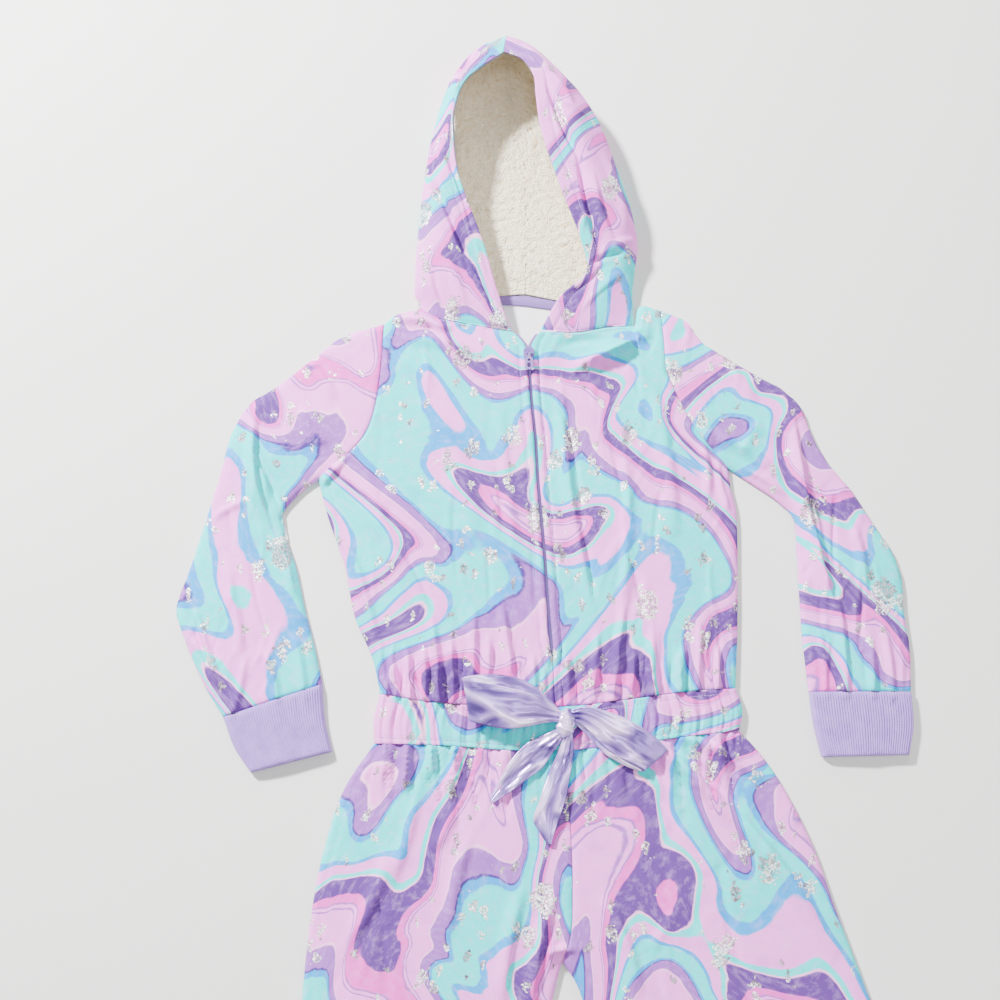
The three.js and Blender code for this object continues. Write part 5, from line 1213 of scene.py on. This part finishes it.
def rod_strip(name, starts, ends, ups, radius, material, swell=0.25, sides=6):
    """Many short rounded rods as one mesh: stitches or zip teeth."""
    along = unit(ends - starts)
    side_way = unit(np.cross(along, ups))
    up_way = np.cross(side_way, along)
    shares = np.array([0.0, 0.12, 0.5, 0.88, 1.0])
    sizes = np.array([0.35, 0.85, 1.0 + swell, 0.85, 0.35])
    angles = np.arange(sides) / sides * 2 * np.pi
    centre = starts[:, None] + (ends - starts)[:, None] * shares[None, :, None]
    spoke = (np.cos(angles)[None, None, :, None] * side_way[:, None, None]
             + np.sin(angles)[None, None, :, None] * up_way[:, None, None])
    points = centre[:, :, None] + spoke * (radius * sizes)[None, :, None, None]
    per = 5 * sides
    points = points.reshape(-1, 3)
    cap = np.array([[k, k + 1, sides - 2 - k, sides - 1 - k] for k in range(sides // 2 - 1)])
    one = np.vstack([quads(5, sides, True)[:, ::-1], cap, cap[:, ::-1] + per - sides])
    faces = (one[None] + (np.arange(len(starts)) * per)[:, None, None]).reshape(-1, 4)
    obj = mesh_object(name, points, faces, points[:, :2] * 0.001, [material])
    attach(obj, "garment")


def stitches_on(line, ups):
    """Starts, ends and ups of the stitches along a line of points that lies on the cloth."""
    run = run_along(line)
    at = np.arange(1.0, run[-1] - STITCH["length"], STITCH["pitch"])

    def along(places, values):
        return np.stack([np.interp(places, run, values[:, i]) for i in range(3)], 1)

    up = unit(along(at, ups))
    return along(at, line) + up * 0.12, along(at + STITCH["length"], line) + up * 0.12, up


def seam_stitches(lines, thread):
    """The stitches of several lines in one object."""
    starts, ends, ups = (np.vstack(part) for part in zip(*(stitches_on(*line) for line in lines)))
    rod_strip("seam_stitches", starts, ends, ups, STITCH["radius"], thread, sides=4)


def line_at(grid, distance, across=True, from_last=False):
    """The points of a grid at a distance from one of its borders, and the way up at each."""
    ups = upward(grid_normals(grid))
    if not across:
        grid, ups = grid.swapaxes(0, 1), ups.swapaxes(0, 1)
    if from_last:
        grid, ups = grid[:, ::-1], ups[:, ::-1]
    gap = np.linalg.norm(grid - grid[:, :1], axis=-1)
    rows = np.arange(len(grid))
    after = np.clip((gap < distance).argmin(1), 1, grid.shape[1] - 1)
    before = after - 1
    t = np.clip((distance - gap[rows, before]) / (gap[rows, after] - gap[rows, before]), 0, 1)[:, None]
    return mix(grid[rows, before], grid[rows, after], t), unit(mix(ups[rows, before], ups[rows, after], t))


class Nodes:
    """A short way to write a material's node tree."""

    def __init__(self, name):
        self.material = bpy.data.materials.new(name)
        self.material.use_nodes = True
        self.tree = self.material.node_tree
        self.tree.nodes.clear()

    def add(self, kind, inputs=(), **settings):
        node = self.tree.nodes.new("ShaderNode" + kind)
        for key, value in settings.items():
            setattr(node, key, value)
        for key, value in dict(inputs).items():
            if isinstance(value, bpy.types.NodeSocket):
                self.tree.links.new(value, node.inputs[key])
            else:
                node.inputs[key].default_value = value
        return node

    def wave(self, vector, scale, way="X", distortion=0.0, detail=2.0):
        inputs = {"Vector": vector, "Scale": scale, "Distortion": distortion, "Detail": detail}
        return self.add("TexWave", inputs, wave_type="BANDS", bands_direction=way).outputs[1]

    def principled(self, colour, roughness, normal, **more):
        """A Principled shader; more inputs are named in small letters with underscores."""
        inputs = {key.replace("_", " ").title().replace("Ior", "IOR"): value for key, value in more.items()}
        inputs |= {"Base Color": colour, "Roughness": roughness, "Normal": normal}
        return self.add("BsdfPrincipled", inputs)

    def math(self, operation, a, b=0.0, clamp=False):
        return self.add("Math", {0: a, 1: b}, operation=operation, use_clamp=clamp).outputs[0]

    def plus(self, a, b):
        return self.math("ADD", a, b)

    def minus(self, a, b, clamp=False):
        return self.math("SUBTRACT", a, b, clamp)

    def times(self, a, b, clamp=False):
        return self.math("MULTIPLY", a, b, clamp)

    def mix(self, factor, a, b, blend="MIX"):
        # The settings come first, because they decide which sockets take the colours.
        return self.add("Mix", {0: factor, 6: a, 7: b}, data_type="RGBA", blend_type=blend).outputs[2]

    def ramp(self, factor, stops):
        node = self.add("ValToRGB", {0: factor})
        while len(node.color_ramp.elements) < len(stops):
            node.color_ramp.elements.new(0.5)
        for element, (position, colour) in zip(node.color_ramp.elements, stops):
            element.position = position
            element.color = (*colour, 1)
        return node.outputs[0]

    def noise(self, vector, scale, detail=2.0, roughness=0.5, distortion=0.0, output=0):
        inputs = {"Vector": vector, "Scale": scale, "Detail": detail, "Roughness": roughness}
        return self.add("TexNoise", {**inputs, "Distortion": distortion}).outputs[output]

    def voronoi(self, vector, scale, feature="F1"):
        return self.add("TexVoronoi", {"Vector": vector, "Scale": scale}, feature=feature)

    def vector(self, operation, a, b=(0, 0, 0)):
        return self.add("VectorMath", {0: a, 1: b}, operation=operation).outputs[0]

    def pushed(self, place, way, reach, reach_y=None):
        """A place moved some way along the cloth."""
        reach_y = reach if reach_y is None else reach_y
        return self.vector("ADD", place, self.vector("MULTIPLY", way, (reach, reach_y, 0)))

    def scaled(self, vector, scale, location=(0, 0, 0), rotation=0.0):
        return self.add("Mapping", {"Vector": vector, "Scale": scale, "Location": location,
                                    "Rotation": (0, 0, rotation)}).outputs[0]

    def cloth(self):
        return self.add("UVMap", uv_map="cloth").outputs[0]

    def bump(self, height, strength, distance, normal=None):
        inputs = {"Height": height, "Strength": strength, "Distance": distance}
        if normal is not None:
            inputs["Normal"] = normal
        return self.add("Bump", inputs).outputs[0]

    def surface(self, shader):
        out = self.add("OutputMaterial")
        self.tree.links.new(shader.outputs[0], out.inputs[0])
        return self.material


AQUA = (0.0, 0.76, 0.76)
SKY = (0.015, 0.33, 0.80)
PINK = (0.86, 0.10, 0.58)
PALE_PINK = (0.96, 0.27, 0.84)
LILAC = (0.33, 0.11, 0.50)
PURPLE = (0.125, 0.045, 0.26)
RIM = (1.0, 0.46, 0.84)
CONTOUR = (0.07, 0.03, 0.24)

# The print's bands across one cycle of its swirl: width and colour.
BANDS = [
    (0.09, AQUA), (0.035, SKY), (0.012, CONTOUR), (0.10, LILAC), (0.012, RIM), (0.15, PALE_PINK),
    (0.010, LILAC), (0.018, PALE_PINK), (0.008, LILAC), (0.05, PINK), (0.12, PURPLE), (0.013, RIM),
    (0.04, AQUA), (0.11, PALE_PINK), (0.045, SKY), (0.11, AQUA),
]


def band_stops(bands, soft=0.0025):
    """Ramp stops that keep each band flat, with a narrow change between two of them."""
    total = sum(width for width, _ in bands)
    stops, at = [], 0.0
    for width, colour in bands:
        end = at + width / total
        stops += [(at + soft, colour), (end - soft, colour)]
        at = end
    return stops


def knit_bump(n, uv, strength=0.35):
    """Fine wales of the knit, with a little fuzz."""
    wales = n.wave(uv, 330.0, distortion=1.5)
    fuzz = n.noise(uv, 1600.0, 2.0)
    soft = n.noise(uv, 210.0, 2.0)
    height = n.plus(n.times(wales, 0.5), n.times(fuzz, 0.6))
    first = n.bump(height, strength, 0.0004)
    return n.bump(soft, 0.25, 0.0012, first)


# The swirl's curls: waves a metre, reach, phase.
CURLS = ((17.0, 0.034, (1.3, 4.1, 0)), (31.0, 0.021, (2.2, 0.4, 0)), (58.0, 0.0085, (0.7, 3.3, 0)))


def print_material():
    """Marbled swirls of pink, lavender, aqua and sky blue, with cracked silver foil flecks."""
    n = Nodes("marbled_print")
    uv = n.cloth()
    curled = uv
    for k, reach, phase in CURLS:
        turned = n.scaled(curled, (k, k, 1.0), phase, math.pi / 2)
        curled = n.pushed(curled, n.vector("SINE", turned), reach)
    loose = n.vector("SUBTRACT", n.noise(curled, 7.0, 1.5, 0.5, 0.0, output=1), (0.5, 0.5, 0.5))
    second = n.pushed(curled, loose, 0.085, 0.10)
    field = n.noise(n.scaled(second, (1.1, 0.85, 1.0), (0.37, 0.11, 0.0), 0.35), 5.6, 1.4, 0.34, 0.15)
    wander = n.times(n.minus(n.noise(second, 48.0, 3.0), 0.5), 0.05)
    level = n.math("FRACT", n.plus(n.times(field, 4.3), wander))
    colour = n.ramp(level, band_stops(BANDS))
    mottle = n.noise(second, 130.0, 4.0, 0.62)
    colour = n.mix(n.times(n.minus(mottle, 0.48, True), 1.1), colour, (0.80, 0.48, 1.0, 1))
    deeper = n.times(n.minus(0.48, n.noise(uv, 40.0, 3.0), True), 1.5)
    colour = n.mix(deeper, colour, (0.62, 0.52, 0.86, 1), "MULTIPLY")

    # The chips' colour carries painted shade on some of them.
    chips, foil_colour_and_shade = foil_chips(n, uv)
    normal = knit_bump(n, uv)
    fabric = n.principled(colour, 0.8, normal, sheen_weight=0.06, sheen_roughness=0.4,
                          specular_ior_level=0.12)
    crumple = n.bump(n.noise(uv, 420.0, 2.0), 0.8, 0.0014, normal)
    foil = n.principled(foil_colour_and_shade, 0.32, crumple, metallic=0.25)
    return n.surface(n.add("MixShader", {0: chips, 1: fabric.outputs[0], 2: foil.outputs[0]}))


# Foil spots of three sizes: spots a metre, share left out, growth with the random size, its channel.
FOIL_SPOTS = ((24.0, 0.12, 0.42, 0), (44.0, 0.36, 0.56, 1), (88.0, 0.56, 0.85, 2))


def foil_chips(n, uv):
    """Where cracked silver chips cover the print, thick in the middle of each spot, and their colour, with
    painted shade on some of them.
    """
    off = n.vector("SUBTRACT", n.noise(uv, 110.0, 3.0, output=1), (0.5, 0.5, 0.5))
    wobbly = n.pushed(uv, off, 0.016)
    spots = None
    for scale, left_out, growth, channel in FOIL_SPOTS:
        spot = n.voronoi(n.scaled(wobbly, (1.0, 0.68, 1.0), (0.1, 0.2, 0), 0.7), scale)
        size = n.add("SeparateColor", {0: spot.outputs[1]}).outputs[channel]
        reach = n.times(n.minus(size, left_out, True), growth)
        depth = n.times(n.minus(reach, spot.outputs[0]), 5.0, True)
        spots = depth if spots is None else n.math("MAXIMUM", spots, depth)
    jagged = n.pushed(uv, n.noise(uv, 420.0, 3.0, output=1), 0.0044)
    chip = n.voronoi(jagged, 350.0)
    draw = n.add("SeparateColor", {0: chip.outputs[1]})
    held = n.minus(n.times(spots, 2.4), draw.outputs[0])
    edge = n.voronoi(jagged, 350.0, "DISTANCE_TO_EDGE").outputs[0]
    cover = n.times(n.times(held, 12.0, True),
                   n.times(n.minus(edge, 0.02), 40.0, True))
    # Painted shade: part of the chips take grey, dark and brownish tones in place of silver-white, as foil
    # lying in shade.
    chip_colour_and_shade = n.ramp(draw.outputs[1], [
        (0.0, (1, 1, 1)), (0.52, (1, 1, 1)), (0.60, (0.56, 0.50, 0.52)), (0.70, (0.30, 0.22, 0.26)),
        (0.75, (0.78, 0.62, 0.60)), (0.82, (1, 1, 1))])
    crack = n.ramp(edge, [(0.05, (1, 1, 1)), (0.13, (0, 0, 0))])
    chip_colour_and_shade = n.mix(crack, chip_colour_and_shade, (0.20, 0.14, 0.16, 1), "MULTIPLY")
    # Painted shade: patches of noise darken the chips further, as foil in shade.
    painted_foil_shade = n.ramp(n.noise(uv, 26.0, 1.0), [(0.52, (0, 0, 0)), (0.56, (1, 1, 1))])
    chip_colour_and_shade = n.mix(n.times(painted_foil_shade, 0.8), chip_colour_and_shade, (0.32, 0.25, 0.33, 1), "MULTIPLY")
    return cover, chip_colour_and_shade


def inside_material():
    """The knit's wrong side: white with a faint shade of the print."""
    n = Nodes("knit_wrong_side")
    uv = n.cloth()
    tint = n.noise(uv, 16.0, 2.0, 0.5, 0.8)
    colour = n.ramp(tint, [(0.35, (0.90, 0.88, 0.95)), (0.5, (0.95, 0.93, 0.96)), (0.62, (0.94, 0.88, 0.93))])
    colour = n.mix(n.times(n.noise(uv, 1100.0, 2.0), 0.2), colour, (0.6, 0.55, 0.72, 1), "MULTIPLY")
    return n.surface(n.principled(colour, 0.9, knit_bump(n, uv, 0.5), sheen_weight=0.2))


def rib_material():
    """Lavender rib knit: shaded valleys, small stitches along each rib."""
    n = Nodes("lavender_rib")
    uv = n.cloth()
    shade = n.noise(uv, 90.0, 3.0)
    colour = n.ramp(shade, [(0.3, (0.31, 0.16, 0.58)), (0.5, (0.35, 0.19, 0.62)), (0.7, (0.39, 0.23, 0.66))])
    stitches = n.wave(uv, 210.0, "Y", 2.0, 1.0)
    colour = n.mix(n.times(stitches, 0.22), colour, (0.34, 0.24, 0.55, 1))
    fuzz = n.noise(uv, 1400.0, 2.0)
    height = n.plus(n.times(stitches, 0.5), n.times(fuzz, 0.5))
    return n.surface(n.principled(colour, 0.85, n.bump(height, 0.5, 0.0006), sheen_weight=0.12))


def fleece_material():
    """Cream curly fleece: painted shade between its tufts and between its fine curls, which are bumped over
    them.
    """
    n = Nodes("cream_fleece")
    uv = n.cloth()
    warped = n.pushed(uv, n.noise(uv, 260.0, 2.0, output=1), 0.004)
    curl_bumps_and_shade = n.voronoi(warped, 520.0).outputs[0]
    shade = n.noise(uv, 150.0, 4.0, 0.6)
    # Painted shade: the noise ramp darkens patches toward tan, and the curl mask darkens the cream between
    # the curls.
    colour = n.ramp(shade, [(0.3, (0.84, 0.68, 0.46)), (0.48, (1.0, 0.91, 0.70)), (0.66, (1.0, 0.95, 0.80))])
    colour = n.mix(n.times(curl_bumps_and_shade, 0.34), colour, (0.66, 0.48, 0.32, 1), "MULTIPLY")
    height = n.minus(n.times(n.noise(warped, 900.0, 3.0), 0.6), curl_bumps_and_shade)
    return n.surface(n.principled(colour, 1.0, n.bump(height, 0.9, 0.0016), sheen_weight=0.25,
                                  sheen_roughness=0.6, specular_ior_level=0.1))


def satin_material():
    """Lavender satin: painted highlights and painted shade in its base colour, from a noise that also bumps
    it into soft waves, and fine threads bumped along the weave.
    """
    n = Nodes("lavender_satin")
    uv = n.cloth()
    threads = n.wave(uv, 900.0, "Y", 0.6)
    fold = n.noise(n.scaled(uv, (1.7, 0.8, 1.0), (0.3, 0.1, 0)), 34.0, 1.2, 0.4, 0.7)
    # Painted highlights and painted shade: the noise ramp runs from deep purple to near white in the base
    # colour.
    colour = n.ramp(fold, [
        (0.34, (0.11, 0.06, 0.27)), (0.42, (0.24, 0.14, 0.48)), (0.50, (0.38, 0.25, 0.66)),
        (0.56, (0.62, 0.44, 0.90)), (0.68, (0.84, 0.66, 1.0))])
    waves = n.bump(fold, 0.8, 0.006)
    return n.surface(n.principled(colour, 0.2, n.bump(threads, 0.12, 0.0002, waves), metallic=0.4,
                                  anisotropic=0.4, specular_ior_level=0.7))


def tape_material():
    n = Nodes("zip_tape_weave")
    uv = n.cloth()
    weave = n.wave(n.scaled(uv, (1, 1, 1), (0, 0, 0), 0.7), 500.0)
    colour = n.ramp(weave, [(0.2, (0.20, 0.11, 0.40)), (0.8, (0.30, 0.18, 0.52))])
    return n.surface(n.principled(colour, 0.75, n.bump(weave, 0.5, 0.0004)))


def thread_material(name, light, dark):
    n = Nodes(name)
    at = n.add("TexCoord").outputs["Object"]
    twist = n.wave(at, 900.0, "DIAGONAL", 1.0)
    colour = n.ramp(twist, [(0.2, dark), (0.8, light)])
    return n.surface(n.principled(colour, 0.55, n.bump(twist, 0.4, 0.0003), sheen_weight=0.2))


def painted_metal():
    """The slider and its tab: lavender paint, worn lighter at the edges."""
    n = Nodes("painted_metal")
    at = n.add("TexCoord").outputs["Object"]
    worn = n.add("NewGeometry").outputs["Pointiness"]
    grain = n.noise(at, 700.0, 3.0)
    edge = n.ramp(worn, [(0.5, (0, 0, 0)), (0.56, (1, 1, 1))])
    colour = n.mix(n.times(grain, 0.35), (0.13, 0.055, 0.34, 1), (0.20, 0.10, 0.44, 1))
    colour = n.mix(n.times(edge, 0.3), colour, (0.46, 0.34, 0.68, 1))
    return n.surface(n.principled(colour, 0.38, n.bump(grain, 0.15, 0.0002), metallic=0.1, coat_weight=0.25))


def floor_material():
    n = Nodes("pale_floor")
    at = n.add("TexCoord").outputs["Object"]
    shade = n.times(n.noise(at, 3.0, 2.0), 0.3)
    colour = n.mix(shade, (0.80, 0.78, 0.76, 1), (0.84, 0.82, 0.80, 1))
    return n.surface(n.add("BsdfPrincipled", {"Base Color": colour, "Roughness": 0.85}))


# The lights: name, place, target, disk size, power.
LIGHTS = [
    ("key", (-1.55, 1.75, 1.5), (0, 0.1, 0), 0.3, 290),
    ("fill", (1.9, -0.6, 1.5), (0, 0.1, 0), 1.6, 24),
    ("top", (0.1, 0.1, 2.6), (0, 0.2, 0), 1.2, 30),
    ("back", (0.6, 2.4, 1.1), (0, 0.2, 0), 0.8, 22),
]
FLOOR = dict(half=6.0, z=-0.0006)
SKY_LIGHT = dict(colour=(0.95, 0.97, 1.0, 1), strength=0.48)
CAMERA = dict(eye=(-0.05235, 0.0312, 0.9659), aim=(-0.05235, 0.290, 0.0), lens=36, sensor=36)


def aimed(name, data, place, target):
    """A light or camera at a place, looking at the target."""
    obj = linked(name, data)
    obj.location = place
    obj.rotation_mode = "QUATERNION"
    obj.rotation_quaternion = (Vector(place) - Vector(target)).to_track_quat("Z", "Y")
    return obj


def studio():
    """A plain pale floor, soft lights and the camera at the photograph's angle."""
    mesh = bpy.data.meshes.new("floor")
    half, z = FLOOR["half"], FLOOR["z"]
    corners = [(-half, -half, z), (half, -half, z), (half, half, z), (-half, half, z)]
    mesh.from_pydata(corners, [], [(0, 1, 2, 3)])
    mesh.materials.append(floor_material())
    linked("floor", mesh)

    world = bpy.data.worlds.new("studio")
    world.use_nodes = True
    background = world.node_tree.nodes["Background"]
    background.inputs[0].default_value = SKY_LIGHT["colour"]
    background.inputs[1].default_value = SKY_LIGHT["strength"]
    bpy.context.scene.world = world

    for name, place, target, disk, power in LIGHTS:
        light = bpy.data.lights.new(name, "AREA")
        light.shape = "DISK"
        light.size = disk
        light.energy = power
        aimed(name, light, place, target)

    data = bpy.data.cameras.new("camera")
    data.lens = CAMERA["lens"]
    data.sensor_width = CAMERA["sensor"]
    bpy.context.scene.camera = aimed("camera", data, CAMERA["eye"], CAMERA["aim"])


def zip_teeth(fronts, material):
    """Coil teeth: short rods that meet in pairs along the zip, under the front edges."""
    y = np.arange(ZIP_END + 2, 146, TOOTH["pitch"])
    x, _ = zip_at(y)
    z = np.minimum(*(front_edge_height(front, y) for front in fronts)) - 1.0
    side = np.where(np.arange(len(y)) % 2 == 0, 1.0, -1.0)
    starts = np.stack([x + side * TOOTH["out"], y - 0.25, z], 1)
    ends = np.stack([x - side * TOOTH["over"], y + 0.25, z + TOOTH["rise"]], 1)
    ups = np.tile([0.0, 0, 1], (len(y), 1))
    rod_strip("zip_teeth", starts, ends, ups, TOOTH["radius"], material, swell=0.1)


def neck_tape(material):
    """A tape over the back neck seam, inside the collar, sewn along its lower edge."""
    shares = np.linspace(0.0, 1.0, 120)
    line = np.vstack([LINE["neckBackRight"](shares), LINE["neckBackLeft"](shares[::-1])[1:]])
    line = line[(line[:, 0] > NECK_TAPE["low"]) & (line[:, 0] < NECK_TAPE["high"])]
    across = np.linspace(0, 1, 9)
    grid = np.zeros((len(line), 9, 3))
    grid[..., 0] = line[:, :1]
    grid[..., 1] = line[:, 1:] + NECK_TAPE["above"] - NECK_TAPE["width"] * across[None, :]
    grid[..., 2] = 2.2 + 1.3 * np.sin(np.pi * np.clip(across, 0.05, 0.9))[None, :] + 0.15 * noise2(
        line[:, :1], across[None, :] * 3, 6, 71)
    points, faces, _ = wall(grid, grid - np.array([0, 0, TAPE]))
    obj = mesh_object("neck_tape", points, faces, np.vstack([plan_uv(grid)] * 2), [material])
    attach(obj, "garment")


def main():
    studio()
    knit, wrong = print_material(), inside_material()
    both = [knit, wrong]
    rib, fleece, satin, tape = rib_material(), fleece_material(), satin_material(), tape_material()
    thread = thread_material("lavender_thread", (0.52, 0.36, 0.78), (0.36, 0.22, 0.60))
    coil = thread_material("zip_coil", (0.24, 0.13, 0.45), (0.12, 0.06, 0.28))
    fronts = {}
    for side in ("Right", "Left"):
        fronts[side] = bodice_front(side, both)
        zip_tape(fronts[side], side, tape)
        sleeve_piece(side, both)
        cuff_piece(side, [rib])
        leg_front(side, leg_lines(side), both)
        leg_back(side, leg_lines(side), [wrong, knit])
        hood_piece(side, both)
        hood_lining(side, fleece)
    back_piece([wrong, knit])
    waistband_pieces(both)
    for name, table in BOW.items():
        ribbon_piece(name, table, satin, (3.0, 0.3 if "right" in name else 0.8, 0.9))
    knot_piece(satin)
    zip_teeth(list(fronts.values()), coil)
    lines = [line_at(grid[6:-2], ZIP_STITCHES, from_last=True) for grid in fronts.values()]
    lines += [line_at(grid[:, 36:-8], NECK_STITCHES, across=False) for grid in fronts.values()]
    lines += [line_at(HEMS[side][:, 4:-4], LEG_HEM, across=False, from_last=True) for side in HEMS]
    lines += [line_at(HOODS[side][6:-3], HOOD_HEM, from_last=True) for side in HOODS]
    lines += [(WAIST[0][row, 3:-3], WAIST[1][row, 3:-3]) for row in WAIST_ROWS]
    seam_stitches(lines, thread)
    neck_tape(tape)
    metal = painted_metal()
    for node in ("zip_slider", "zip_pull"):
        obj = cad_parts[node]
        obj.data.materials.clear()
        obj.data.materials.append(metal)


main()
